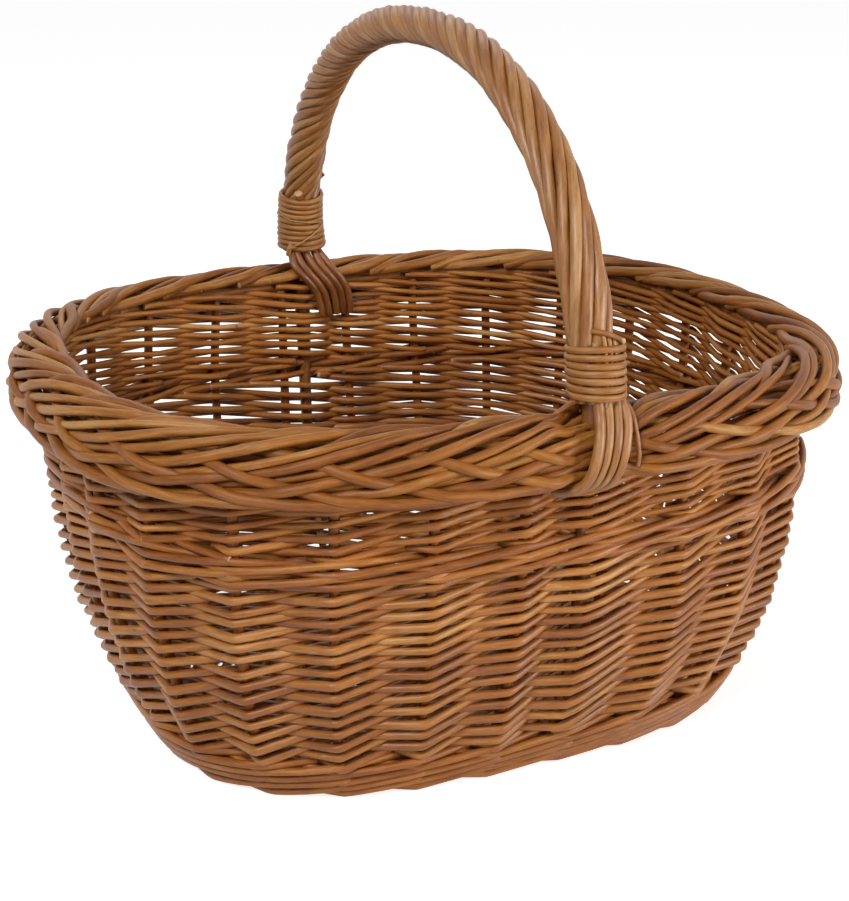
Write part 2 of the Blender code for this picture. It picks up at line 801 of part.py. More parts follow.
def handle_roping(handle):
    """The layer of rods roped round the bow, as one hollow sleeve, drawn in at the bindings."""
    shape = bmesh.new()
    outers, inners = [], []
    bore = BOW_RADIUS + ROPING_CLEARANCE
    for i, length in enumerate(handle.stops):
        point, direction, outward = handle.at(length)
        radius = roping_radius(handle, length)
        outers.append(loop_of(shape, section(point, handle.across, outward, radius, ROPING_SIDES)))
        inners.append(loop_of(shape, section(point, handle.across, outward, bore, ROD_SIDES)))
    for loops in (outers, inners):
        for first, second in zip(loops, loops[1:]):
            bridge(shape, first, second)
    for outer, inner in ((outers[0], inners[0]), (outers[-1], inners[-1])):
        for i in range(ROD_SIDES):
            j = (i + 1) % ROD_SIDES
            a, b, c = outer[2 * i], outer[2 * i + 1], outer[(2 * i + 2) % ROPING_SIDES]
            shape.faces.new((inner[i], a, b))
            shape.faces.new((inner[i], b, inner[j]))
            shape.faces.new((inner[j], b, c))
    return mesh_object("handle_roping", shape, handle.middle)


def least_gap(points, diameter, apart):
    """The least distance between parts of a winding at least so many points apart."""
    places = np.array([tuple(point) for point in points])
    gaps = [
        np.linalg.norm(places[i + apart :] - places[i], axis=1).min()
        for i in range(len(places) - apart)
    ]
    return min(gaps) - diameter


def binding(name, handle, start, turns, pitch, back, free_end, basket):
    """One thin rod wound round a foot of the handle, its two ends left straight."""
    radius = ROPING_NECK + BINDING_CLEARANCE + BINDING_ROD / 2
    points = []
    for i in range(turns * POINTS_PER_TURN + 1):
        length = start + pitch * i / POINTS_PER_TURN
        length = handle.length - length if back else length
        angle = 2 * math.pi * i / POINTS_PER_TURN
        point, direction, outward = handle.at(length)
        points.append(
            point + (handle.across * math.cos(angle) + outward * math.sin(angle)) * radius
        )
    gap = least_gap(points, BINDING_ROD, POINTS_PER_TURN // 2)
    print(f"{name}: least gap to itself {gap:.5f} m")
    points.insert(0, points[0] + (points[0] - points[1]).normalized() * BINDING_ROD)
    points.append(points[-1] + (points[-1] - points[-2]).normalized() * free_end)
    return curve_rod(name, points, BINDING_ROD / 2, 1, basket, BUFF_LIGHT, SATIN)


def tail_points(handle, side, place, drift, route, outward, diameter):
    """The way of one handle rod below its binding.

    It starts under the roping, at a place across the handle, and follows the route's shares.
    """
    front = side < 0
    foot, direction, away = handle.at(handle.front_end if front else handle.back_end)
    down = -direction if front else direction
    start = foot + handle.across * place + away * math.copysign(TAIL_RING, outward)
    points = [start + down * 2 * CLEARANCE, start + down * (2 * CLEARANCE + TAIL_LEAD)]
    wall = middle_at(BODY_HEIGHT)[1]
    radius = diameter / 2
    reach = BORDER_OUTWARD if outward > 0 else BORDER_INWARD
    for height_share, reach_share, drift_share in route:
        height = BODY_HEIGHT + height_share * BORDER_HEIGHT
        from_wall = reach_share * reach - radius if outward > 0 else -(reach_share * reach + radius)
        across = place + drift_share * drift
        points.append(Vector((foot.x + across, side * (wall + from_wall), height)))
    return points


def handle_tails(handle, basket):
    """The handle's rods below the bindings: outside and inside the front, inside the back."""
    for i in range(FRONT_TAIL_COUNT):
        place = FRONT_TAIL_SIDE + (i - (FRONT_TAIL_COUNT - 1) / 2) * FRONT_TAIL_PITCH
        points = tail_points(
            handle, -1, place, FRONT_TAIL_DRIFT, FRONT_TAIL_ROUTE_SHARES, 1, FRONT_TAIL_ROD
        )
        name = f"front_tail_{i + 1}"
        curve_rod(name, points, FRONT_TAIL_ROD / 2, TAIL_TIP_SHARE, basket, BUFF_LIGHT, SATIN)
    for i in range(INNER_TAIL_COUNT):
        place = INNER_TAIL_SIDE + (i - (INNER_TAIL_COUNT - 1) / 2) * INNER_TAIL_PITCH
        points = tail_points(
            handle, -1, place, 0, INNER_TAIL_ROUTE_SHARES, -1, INNER_TAIL_ROD
        )
        name = f"front_inner_tail_{i + 1}"
        curve_rod(name, points, INNER_TAIL_ROD / 2, TAIL_TIP_SHARE, basket, BUFF_RED, DULL)
    for i in range(BACK_TAIL_COUNT):
        place = (i - (BACK_TAIL_COUNT - 1) / 2) * BACK_TAIL_PITCH
        points = tail_points(
            handle, 1, place, BACK_TAIL_DRIFT, INNER_TAIL_ROUTE_SHARES, -1, BACK_TAIL_ROD
        )
        name = f"back_tail_{i + 1}"
        curve_rod(name, points, BACK_TAIL_ROD / 2, TAIL_TIP_SHARE, basket, BUFF_RED, DULL)


def build_base(basket):
    place(base_weave(), (0, 0, 0), basket, BUFF_RED, ROUGH)
    for number, step in enumerate(range(-CROSS_EACH_WAY, CROSS_EACH_WAY + 1), 1):
        stick = cross_stick(number, step)
        place(stick, Vector((-step * CROSS_PITCH, 0, STICK_HEIGHT)), basket, BUFF_DARK, ROUGH)
    for name, share, side in (
        ("base_long_stick_front", FRONT_SHARE, -1),
        ("base_long_stick_back", BACK_SHARE, 1),
    ):
        stick = long_stick(name, share, side)
        y = side * (STICK_RADIUS + LONG_GAP / 2)
        place(stick, Vector((0, y, STICK_HEIGHT)), basket, BUFF_DARK, ROUGH)


def build_wall(handle, basket):
    for index in range(STAKE_COUNT):
        origin = wall_point(stake_share(index), STICK_HEIGHT)
        place(stake(index), origin, basket, BUFF_DARK, DULL)
    place(foot_band(), (0, 0, 0), basket, BUFF_DARK, ROUGH)
    half_gap = CLEARANCE / 2
    siding_bottom, siding_top = UPSETT_TOP + CLEARANCE, MID_WALE_BOTTOM - half_gap
    wale, siding = (WALE_HALF, WALE_HALF), (WALL_HALF, CROSSING_HALF)
    for name, bottom, top, halves, colour, with_bow in (
        ("upsett_wale", UPSETT_BOTTOM, UPSETT_TOP, wale, BUFF, False),
        ("lower_siding", siding_bottom, siding_top, siding, BUFF_RED, True),
        ("mid_wale", MID_WALE_BOTTOM + half_gap, MID_WALE_TOP, wale, BUFF, True),
        ("upper_siding", MID_WALE_TOP + CLEARANCE, BODY_HEIGHT, siding, BUFF_RED, True),
    ):
        ring = wall_band(name, handle, bottom, top, halves, bottom, with_bow)
        place(ring, (0, 0, bottom), basket, colour, ROUGH)
    place(border_band(handle), (0, 0, BORDER_BOTTOM), basket, BUFF, SATIN)


def build_handle(handle, basket):
    place(handle_bow(handle), handle.middle, basket, BUFF_DARK, DULL)
    place(handle_roping(handle), handle.middle, basket, BUFF, SATIN)
    binding(
        "front_binding", handle, FRONT_BINDING_START, FRONT_BINDING_TURNS,
        FRONT_BINDING_PITCH, False, FRONT_FREE_END, basket,
    )
    binding(
        "back_binding", handle, BACK_BINDING_START, BACK_BINDING_TURNS,
        BACK_BINDING_PITCH, True, BACK_FREE_END, basket,
    )
    handle_tails(handle, basket)


def main():
    clear_scene()
    basket = bpy.data.objects.new("basket", None)
    bpy.context.scene.collection.objects.link(basket)
    handle = Handle()
    build_base(basket)
    build_wall(handle, basket)
    build_handle(handle, basket)


main()
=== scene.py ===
"""The looks of an oval willow foraging basket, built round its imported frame.

Metres, +Z up, front towards -Y. Every shown rod is a tube along its own line: the siding is woven
in and out of the stakes, the wales and the border are worked rod by rod, and the handle is roped.
Places round the wall are counted in stakes: stake k stands at k, and the gaps are one apart.
"""

import math

import bpy
import numpy as np
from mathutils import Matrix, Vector


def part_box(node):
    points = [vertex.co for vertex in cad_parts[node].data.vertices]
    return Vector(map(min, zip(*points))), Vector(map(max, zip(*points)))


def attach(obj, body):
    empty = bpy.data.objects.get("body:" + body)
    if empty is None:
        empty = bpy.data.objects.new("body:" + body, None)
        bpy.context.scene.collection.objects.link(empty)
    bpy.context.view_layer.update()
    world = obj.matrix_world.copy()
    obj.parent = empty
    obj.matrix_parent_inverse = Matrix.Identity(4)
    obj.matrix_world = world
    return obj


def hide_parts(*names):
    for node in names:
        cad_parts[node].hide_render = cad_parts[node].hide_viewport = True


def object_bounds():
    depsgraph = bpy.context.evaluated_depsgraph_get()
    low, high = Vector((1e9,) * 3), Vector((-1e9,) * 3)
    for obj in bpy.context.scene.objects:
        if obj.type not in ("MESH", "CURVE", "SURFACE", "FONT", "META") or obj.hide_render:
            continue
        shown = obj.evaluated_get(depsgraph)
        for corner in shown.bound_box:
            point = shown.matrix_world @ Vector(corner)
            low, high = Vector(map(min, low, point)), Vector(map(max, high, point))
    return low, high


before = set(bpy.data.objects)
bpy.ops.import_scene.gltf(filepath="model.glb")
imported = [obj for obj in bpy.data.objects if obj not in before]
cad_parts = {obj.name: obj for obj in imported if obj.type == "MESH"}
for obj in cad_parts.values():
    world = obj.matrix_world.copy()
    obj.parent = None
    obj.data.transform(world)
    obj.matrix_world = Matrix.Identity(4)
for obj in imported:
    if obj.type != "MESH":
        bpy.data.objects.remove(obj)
CAD_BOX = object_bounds()

# Sizes of the wall, from the frame where it has them
MM = 0.001
RIM_HALF_LENGTH = CAD_BOX[1].x
RIM_HALF_WIDTH = CAD_BOX[1].y
BORDER_OVERHANG = 17.5 * MM
WALL_HALF = 6.55 * MM
FOOT_HALF_LENGTH = 163.3 * MM
FOOT_HALF_WIDTH = 127.9 * MM
RIM_SQUARENESS = 2.64
FOOT_SQUARENESS = 2.94
FLARE_POWER = 2.6
BODY_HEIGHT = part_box("upper_siding")[1].z
UPSETT_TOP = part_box("upsett_wale")[1].z
MID_WALE_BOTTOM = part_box("mid_wale")[0].z
MID_WALE_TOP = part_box("mid_wale")[1].z
BASE_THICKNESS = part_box("base_weave")[1].z
STICK_HEIGHT = BASE_THICKNESS / 2

# Rods
STAKES = 26
STAKE_RADIUS = 2.75 * MM
BOW_RADIUS = 5.0 * MM
STICK_RADIUS = 3.5 * MM
SIDES = 8
THICK_SIDES = 12

# The middle of the back, half way between the last stake and stake 0, as a share of the way round
BACK_SHARE = 0.25
# How finely the way round is measured, and the steps that slopes are taken over
ROUND_STEPS = 2881
SLOPE_STEP = 0.5 * MM
ARCH_STEPS = 1441
ARCH_SLOPE_STEP = 1.5 * MM
# A random wave starts anywhere in a little over one turn, in radians
PHASES = 7

rng = np.random.default_rng(26)


def oval(half_length, half_width, squareness, angle):
    """Points of a rounded oval and its outward normals, both level, at each angle."""
    power = 2 / squareness
    c, s = np.cos(angle), np.sin(angle)
    x = half_length * np.sign(c) * np.abs(c) ** power
    y = half_width * np.sign(s) * np.abs(s) ** power
    slope_x = np.sign(x) * (np.abs(x) / half_length) ** (squareness - 1) / half_length
    slope_y = np.sign(y) * (np.abs(y) / half_width) ** (squareness - 1) / half_width
    size = np.hypot(slope_x, slope_y)
    level = np.zeros_like(x)
    return np.stack([x, y, level], -1), np.stack([slope_x / size, slope_y / size, level], -1)


def lengths_along(points):
    """Length from the first point of a line to each of its points."""
    return np.concatenate([[0], np.cumsum(np.linalg.norm(np.diff(points, axis=0), axis=1))])


def read_off(at, places, rows):
    """Rows of values read off at these places, from the places where they are known."""
    return np.stack([np.interp(at, places, rows[:, i]) for i in range(rows.shape[1])], -1)


def rounded(read, places, corner):
    """What a function reads at these places, its corners rounded over this much to each side."""
    return 0.25 * read(places - corner) + 0.5 * read(places) + 0.25 * read(places + corner)


def placed(name, data):
    """A new object of the scene."""
    made = bpy.data.objects.new(name, data)
    bpy.context.scene.collection.objects.link(made)
    return made


def tint_near(middle, spread):
    """One rod's tone: 0 is the darkest willow and 1 the palest."""
    return np.clip(rng.normal(middle, spread), 0, 1)


def middle_at(height):
    """Half length, half width and squareness of the wall's middle at this height."""
    share = np.clip(height / BODY_HEIGHT, 0, 1)
    flare = 1 - (1 - share) ** FLARE_POWER
    top_length, top_width = RIM_HALF_LENGTH - BORDER_OVERHANG, RIM_HALF_WIDTH - BORDER_OVERHANG
    return (
        FOOT_HALF_LENGTH + flare * (top_length - FOOT_HALF_LENGTH) - WALL_HALF,
        FOOT_HALF_WIDTH + flare * (top_width - FOOT_HALF_WIDTH) - WALL_HALF,
        FOOT_SQUARENESS + share * (RIM_SQUARENESS - FOOT_SQUARENESS),
    )


def length_table():
    """Angles that divide the oval half way up by length, as a table of shares and angles."""
    angles = np.linspace(0, 2 * math.pi, ROUND_STEPS)
    points, _ = oval(*middle_at(BODY_HEIGHT / 2), angles)
    lengths = lengths_along(points)
    return lengths / lengths[-1], angles


SHARES, ANGLES = length_table()


def wall(place, height, outward=0.0):
    """Points of the wall at places counted in stakes, this far out, and the leaning wall's normals."""
    place, height, outward = np.broadcast_arrays(
        np.asarray(place, float), np.asarray(height, float), np.asarray(outward, float)
    )
    angle = np.interp((BACK_SHARE + (place + 0.5) / STAKES) % 1, SHARES, ANGLES)
    points, out = oval(*middle_at(height), angle)
    points[..., 2] = height
    above, below = (oval(*middle_at(height + side * SLOPE_STEP), angle)[0] for side in (1, -1))
    lean = ((above - below) * out).sum(-1) / (2 * SLOPE_STEP)
    out[..., 2] = -np.where(height < BODY_HEIGHT, lean, 0)
    out /= np.linalg.norm(out, axis=-1)[..., None]
    return points + out * outward[..., None], out


def place_on_side(side_place, x):
    """The place on a long side that lies at this x at the top of the wall."""
    fine = np.linspace(side_place - 3, side_place + 3, 601)
    xs = wall(fine, BODY_HEIGHT)[0][:, 0]
    order = np.argsort(xs)
    return float(np.interp(x, xs[order], fine[order]))


def soften(values, passes):
    """Rounds the corners of a line of values or points, keeping its two ends."""
    values = np.array(values, float)
    for _ in range(passes):
        values[1:-1] = (values[:-2] + 2 * values[1:-1] + values[2:]) / 4
    return values


def through(keys, count, passes=12):
    """A smooth line of so many points through a table of keys, spaced by its first column."""
    keys = np.asarray(keys, float)
    at = np.linspace(keys[0, 0], keys[-1, 0], count)
    return soften(read_off(at, keys[:, 0], keys), passes)


def wander(place, waves, strength):
    """A slow random waver with these many waves round the basket, the same after one round."""
    total = np.zeros_like(np.asarray(place, float))
    for wave in waves:
        total += rng.normal() * np.sin(2 * math.pi * wave * place / STAKES + rng.uniform(0, PHASES))
    return total * strength / math.sqrt(len(waves))


def held(values):
    """A line of values with its first and last repeated twice."""
    return np.concatenate([values[:1], values[:1], values, values[-1:], values[-1:]])


class Rods:
    """Rods gathered into one piece. Each is a closed tube with its own tint."""

    # A cut end's rounded edge, as shares of the rod's radius: how far it stands out, how wide it is
    # there, and the small last ring that closes it
    EDGE_LENGTH, EDGE_RADIUS = 0.22, 0.74
    LAST_LENGTH, LAST_RADIUS = 0.02, 0.05
    # The grain of each rod starts somewhere else along this many metres of wood
    WOOD_LENGTH = 40
    SHARP_DEGREES = 60

    def __init__(self, sides=SIDES, rough=0.06):
        self.sides = sides
        self.rough = rough
        self.points, self.loops, self.starts = [], [], []
        self.tints, self.grains, self.cuts = [], [], []
        self.count, self.corners = 0, 0

    def add(self, line, radius, facing, tint, squash=1.0):
        """A rod along the line. Its section's first axis faces this way and may be squashed."""
        line = np.asarray(line, float)
        size = np.broadcast_to(np.asarray(radius, float), len(line))[:, None]
        size = size * (1 + soften(rng.normal(0, self.rough, len(line)), 2))[:, None]
        along = np.gradient(line, axis=0)
        along /= np.linalg.norm(along, axis=1)[:, None]
        out = np.broadcast_to(np.asarray(facing, float), line.shape)
        out = out - along * (out * along).sum(1)[:, None]
        out /= np.linalg.norm(out, axis=1)[:, None]
        side = np.cross(along, out)
        length = lengths_along(line)
        line, size, cut = self.with_ends(line, size, along)
        out, side, length = held(out), held(side), held(length)
        turn = 2 * math.pi * np.arange(self.sides) / self.sides
        c, s = np.cos(turn)[None, :, None], np.sin(turn)[None, :, None]
        rings = line[:, None] + size[:, None] * (c * squash * out[:, None] + s * side[:, None])
        rows = len(line)
        local = np.empty((rows, self.sides, 3))
        local[..., 0] = size * np.cos(turn)
        local[..., 1] = size * np.sin(turn)
        local[..., 2] = length[:, None] + rng.uniform(0, self.WOOD_LENGTH)
        grid = self.count + np.arange(rows * self.sides).reshape(rows, self.sides)
        after = np.roll(grid, -1, axis=1)
        quads = np.stack([grid[:-1], after[:-1], after[1:], grid[1:]], -1).reshape(-1, 4)
        self.loops.append(quads.ravel())
        self.starts.append(self.corners + 4 * np.arange(len(quads)))
        self.corners += quads.size
        for ring in (grid[0][::-1], grid[-1]):
            self.loops.append(ring)
            self.starts.append(np.array([self.corners]))
            self.corners += self.sides
        self.points.append(rings.reshape(-1, 3))
        self.grains.append(local.reshape(-1, 3))
        self.tints.append(np.full(rows * self.sides, tint))
        self.cuts.append(np.repeat(cut, self.sides))
        self.count += rows * self.sides

    def with_ends(self, line, size, along):
        """The rod's line and radii with a small rounded edge at each end, and which rows are cut wood."""
        first, last = size[0], size[-1]
        root = line[0] - along[0] * first * self.EDGE_LENGTH
        tip = line[-1] + along[-1] * last * self.EDGE_LENGTH
        root_end = root - along[0] * first * self.LAST_LENGTH
        tip_end = tip + along[-1] * last * self.LAST_LENGTH
        line = np.concatenate([[root_end, root], line, [tip, tip_end]])
        root_size = [first * self.LAST_RADIUS, first * self.EDGE_RADIUS]
        tip_size = [last * self.EDGE_RADIUS, last * self.LAST_RADIUS]
        size = np.concatenate([root_size, size, tip_size])
        cut = np.zeros(len(line))
        cut[[0, 1, -2, -1]] = 1
        return line, size, cut

    def make(self, name, material, slot, *nodes):
        """Turns the rods into one mesh that stands for these nodes of the frame."""
        mesh = bpy.data.meshes.new(name)
        points = np.concatenate(self.points)
        loops = np.concatenate(self.loops)
        starts = np.concatenate(self.starts)
        mesh.vertices.add(len(points))
        mesh.vertices.foreach_set("co", points.ravel())
        mesh.loops.add(len(loops))
        mesh.loops.foreach_set("vertex_index", loops.astype(np.int32))
        mesh.polygons.add(len(starts))
        mesh.polygons.foreach_set("loop_start", starts.astype(np.int32))
        mesh.update(calc_edges=True)
        mesh.shade_smooth()
        for label, kind, values in (
            ("tint", "FLOAT", np.concatenate(self.tints)),
            ("cut", "FLOAT", np.concatenate(self.cuts)),
            ("grain", "FLOAT_VECTOR", np.concatenate(self.grains)),
        ):
            layer = mesh.attributes.new(label, kind, "POINT")
            layer.data.foreach_set("vector" if kind == "FLOAT_VECTOR" else "value", values.ravel())
        mesh.set_sharp_from_angle(angle=math.radians(self.SHARP_DEGREES))
        mesh.validate()
        piece = placed(name, mesh)
        mesh.materials.append(material)
        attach(piece, "root")
        if nodes:
            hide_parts(*nodes)


class Wire:
    """One socket of a node tree, so that shader maths reads as plain expressions."""

    def __init__(self, nodes, socket):
        self.nodes = nodes
        self.socket = socket

    def math(self, operation, *values, clamp=False):
        """A Math node that works on these values or wires."""
        return self.nodes.add("Math", {"operation": operation, "use_clamp": clamp}, values)

    def __add__(self, other):
        return self.math("ADD", self, other)

    __radd__ = __add__

    def __sub__(self, other):
        return self.math("SUBTRACT", self, other)

    def __mul__(self, other):
        return self.math("MULTIPLY", self, other)

    def clamp(self):
        """The same value, kept between 0 and 1."""
        return self.math("ADD", self, 0.0, clamp=True)


class Nodes:
    """A tree of nodes being built. Every node that is added comes from add()."""

    def __init__(self, tree):
        self.tree = tree

    def add(self, kind, settings=None, sockets=(), output=0):
        """A node of this kind: first its settings, then values or wires for its sockets."""
        node = self.tree.nodes.new("ShaderNode" + kind)
        for key, value in (settings or {}).items():
            if key == "stops":
                self.set_stops(node.color_ramp.elements, value)
            else:
                setattr(node, key, value)
        for key, value in sockets.items() if isinstance(sockets, dict) else enumerate(sockets):
            self.set_socket(node.inputs[key], value)
        return Wire(self, node.outputs[output]) if node.outputs else None

    def set_stops(self, elements, stops):
        """Gives a colour ramp its stops, each a place and a colour."""
        while len(elements) < len(stops):
            elements.new(0.5)
        for element, (position, colour) in zip(elements, stops):
            element.position = position
            element.color = (*colour, 1)

    def set_socket(self, socket, value):
        """Links a wire to a socket, or sets the socket's own value."""
        if isinstance(value, Wire):
            self.tree.links.new(value.socket, socket)
        else:
            socket.default_value = value

    def noise(self, vector, scale, detail, roughness=0.5):
        """A noise between 0 and 1 over this vector."""
        sockets = {"Vector": vector, "Scale": scale, "Detail": detail, "Roughness": roughness}
        return self.add("TexNoise", None, sockets)

    def mix(self, share, first, second):
        """This share of the way from the first colour to the second."""
        settings = {"data_type": "RGBA", "blend_type": "MIX"}
        return self.add("Mix", settings, {0: share, 6: first, 7: second}, 2)

    def ramp(self, value, stops):
        """The colour that the stops give this value."""
        return self.add("ValToRGB", {"stops": stops}, (value,))

    def stretch(self, vector, scale):
        """A vector scaled along each of its axes."""
        return self.add("VectorMath", {"operation": "MULTIPLY"}, (vector, scale))

    def bump(self, strength, distance, height):
        """A normal that follows this height."""
        return self.add("Bump", None, {"Strength": strength, "Distance": distance, "Height": height})

    def seen_straight(self):
        """One where a thing is seen directly, by a mirror or through glass, and 0 for its light."""
        camera = self.add("LightPath", None, (), "Is Camera Ray")
        mirror = self.add("LightPath", None, (), "Is Glossy Ray")
        glass = self.add("LightPath", None, (), "Is Transmission Ray")
        return (camera + mirror + glass).clamp()


class Finish(Nodes):
    """A material being built, which surface() ends."""

    def __init__(self, name):
        self.material = bpy.data.materials.new(name)
        self.material.use_nodes = True
        super().__init__(self.material.node_tree)

    def surface(self, sockets):
        """Sets the sockets of the material's own surface."""
        shader = self.tree.nodes["Principled BSDF"]
        for key, value in sockets.items():
            self.set_socket(shader.inputs[key], value)
        return self.material


# Stretch of the willow's noises across and along a rod, in waves per metre
STREAK_WAVES = (620, 620, 70)
PATCH_WAVES = (70, 70, 24)
SCAR_WAVES = (240, 240, 95)
# Scale, detail and roughness of those noises
STREAK_NOISE, PATCH_NOISE, SCAR_NOISE = (1.0, 6.0, 0.72), (1.0, 3.0, 0.55), (1.0, 1.0, 0.4)
PATCH_CONTRAST, STREAK_CONTRAST = 0.9, 1.5
# Where the noises begin to show as warm patches and as bud scars, how sharply and how much
WARM_FROM, WARM_EDGE, WARM_MOST = 0.54, 6, 0.4
SCAR_FROM, SCAR_EDGE, SCAR_MOST = 0.76, 30, 0.6
CUT_MOST = 0.75
SCAR_BROWN = (0.110, 0.032, 0.006, 1)
CUT_WOOD = (0.62, 0.42, 0.22, 1)
# How much the streaks and the patches change the gloss
STREAK_GLOSS, PATCH_GLOSS = 0.5, 0.2
RELIEF, RELIEF_DEPTH, PATCH_RELIEF = 0.8, 0.3 * MM, 1.5
# Four tones of boiled willow, from the darkest rods to the palest, and a warmer red brown
TONE_PLACES = (0.0, 0.35, 0.65, 1.0)
TONES = ((0.165, 0.042, 0.006), (0.275, 0.085, 0.012), (0.385, 0.144, 0.025), (0.560, 0.280, 0.085))
RED_BROWN = (0.290, 0.075, 0.010, 1)


def toned(scale):
    """The stops of the willow's tones, scaled in red, green and blue."""
    colours = [tuple(part * share for part, share in zip(tone, scale)) for tone in TONES]
    return tuple(zip(TONE_PLACES, colours))


def willow(name, scale, gloss=0.43, shine=0.36):
    """Boiled and peeled willow: each rod has its own tone, with grain, patches and bud scars. The scale
    tints the tones; some copies use it as painted shade or painted light.
    """
    finish = Finish(name)
    tint = finish.add("Attribute", {"attribute_name": "tint"}, (), "Fac")
    cut = finish.add("Attribute", {"attribute_name": "cut"}, (), "Fac")
    grain = finish.add("Attribute", {"attribute_name": "grain"}, (), "Vector")
    streaks = finish.noise(finish.stretch(grain, STREAK_WAVES), *STREAK_NOISE)
    patches = finish.noise(finish.stretch(grain, PATCH_WAVES), *PATCH_NOISE)
    scars = finish.noise(finish.stretch(grain, SCAR_WAVES), *SCAR_NOISE)
    shade = (tint + (patches - 0.5) * PATCH_CONTRAST + (streaks - 0.5) * STREAK_CONTRAST).clamp()
    warm = ((patches - WARM_FROM) * WARM_EDGE).clamp() * WARM_MOST
    scar = ((scars - SCAR_FROM) * SCAR_EDGE).clamp() * SCAR_MOST
    colour = finish.mix(warm, finish.ramp(shade, toned(scale)), RED_BROWN)
    colour = finish.mix(scar, colour, SCAR_BROWN)
    colour = finish.mix(cut * CUT_MOST, colour, CUT_WOOD)
    return finish.surface({
        "Base Color": colour,
        "Roughness": gloss + (streaks - 0.5) * STREAK_GLOSS + (patches - 0.5) * PATCH_GLOSS,
        "Normal": finish.bump(RELIEF, RELIEF_DEPTH, streaks + patches * PATCH_RELIEF),
        "Specular IOR Level": shine,
    })


SIDING_WILLOW = willow("siding_willow", (0.96, 0.96, 0.91), gloss=0.38, shine=0.42)
# Painted light: the upper siding's willow is paler, to lift the shadow that the border casts on it
UPPER_PAINTED_LIGHT_WILLOW = willow("upper_painted_light_willow", (1.08, 1.08, 1.04))
WALE_WILLOW = willow("wale_willow", (0.98, 0.96, 0.90))
# Painted shade: the border's willow is darker, to take back the light that falls on its upward-facing
# rods
BORDER_PAINTED_SHADE_WILLOW = willow("border_willow", (0.86, 0.88, 0.84), shine=0.28)
# Painted shade: the handle's willow, also used for its bow and tails, is darker, to take back the light
# on its upper and front faces
HANDLE_PAINTED_SHADE_WILLOW = willow("handle_painted_shade_willow", (0.76, 0.79, 0.90), gloss=0.37, shine=0.55)
# Painted shade: the bindings' willow is darker, to take back the light on their front faces
BINDING_PAINTED_SHADE_WILLOW = willow("binding_willow", (0.78, 0.80, 0.95))
# Painted shade: the stakes' willow is darker, for the shade that they stand in between the weavers
STAKE_PAINTED_SHADE_WILLOW = willow("stake_willow", (0.88, 0.82, 0.82))
BASE_WILLOW = willow("base_willow", (1.0, 1.0, 0.95))

# The bow's two feet, across the basket and as places in the wall, where rods pass them as they
# pass a stake. The middles of the front and the back of the wall lie half way between two stakes
FRONT_FOOT_X, BACK_FOOT_X = 10 * MM, -7 * MM
FRONT_MIDDLE, BACK_MIDDLE = 12.5, -0.5
FRONT_BOW = place_on_side(FRONT_MIDDLE, FRONT_FOOT_X)
BACK_BOW = place_on_side(BACK_MIDDLE, BACK_FOOT_X) % STAKES

# Weaving: how far a rod's bend reaches to each side of a stake, in stakes, and how much further
# than its own thickness it stands off on the outside and on the inside
CORNER = 0.055
STAND_OUT, STAND_IN = 1.08, 1.24
BEND_STEPS = np.array([0, 0.05, 0.12, 0.27, 0.5, 0.73, 0.88, 0.95])


def uprights(parity):
    """Places round the wall where a row passes something, on which side, and how thick it is."""
    found = [(k, (-1) ** (k + parity), STAKE_RADIUS) for k in range(STAKES)]
    found.append((FRONT_BOW, (-1) ** (round(FRONT_BOW) + parity), BOW_RADIUS))
    found.append((BACK_BOW, (-1) ** (round(BACK_BOW) % STAKES + parity), BOW_RADIUS))
    return np.array(sorted(found))


def woven(places, height, parity, radius):
    """A row of randing: straight between stakes, round the outside of one and the inside of the next."""
    posts = uprights(parity)
    rounds = range(-1, 3)
    here = np.concatenate([posts[:, 0] + STAKES * n for n in rounds])
    side, thick = np.tile(posts[:, 1], len(rounds)), np.tile(posts[:, 2], len(rounds))
    reach = side * (thick + np.interp(here, places, radius)) * np.where(side > 0, STAND_OUT, STAND_IN)
    knots, facing = wall(here, np.interp(here, places, height), reach)
    line = rounded(lambda at: read_off(at, here, knots), places, CORNER)
    return line, rounded(lambda at: read_off(at, here, facing), places, CORNER)


def row_places(start, stretch):
    """Places along a weaver, closer together where it bends round a stake."""
    whole = np.arange(math.floor(start) - 1, math.ceil(start + stretch) + 1)
    places = (whole[:, None] + BEND_STEPS).ravel()
    return places[(places >= start) & (places <= start + stretch)]


# A siding rod starts this many stakes before its own, more where its butt is hidden inside the
# wall. There it is pushed in, by so much over so many stakes
HIDDEN_LEAD, OPEN_LEAD, TIP_OVERRUN = 0.4, 0.16, 0.2
BUTT_PUSH, BUTT_STAKES = 4 * MM, 0.2
# How unlike the rods are in thickness, and how each wavers in thickness and, in rows, in height
ROD_SPREAD = (0.85, 1.14)
THICKNESS_WAVES, THICKNESS_WAVER = (7, 11, 17), 0.03
HEIGHT_WAVES, HEIGHT_WAVER = (3, 5, 8, 13), 0.2
# All the rows ripple together by this share of a row, and the ripples drift as the wall goes up
RIPPLE_WAVES, RIPPLE_STRENGTH, RIPPLE_DRIFT = (2, 3, 5, 7), 0.3, 5
SIDING_SQUASH = 0.9
SIDING_TINT = (0.50, 0.13)


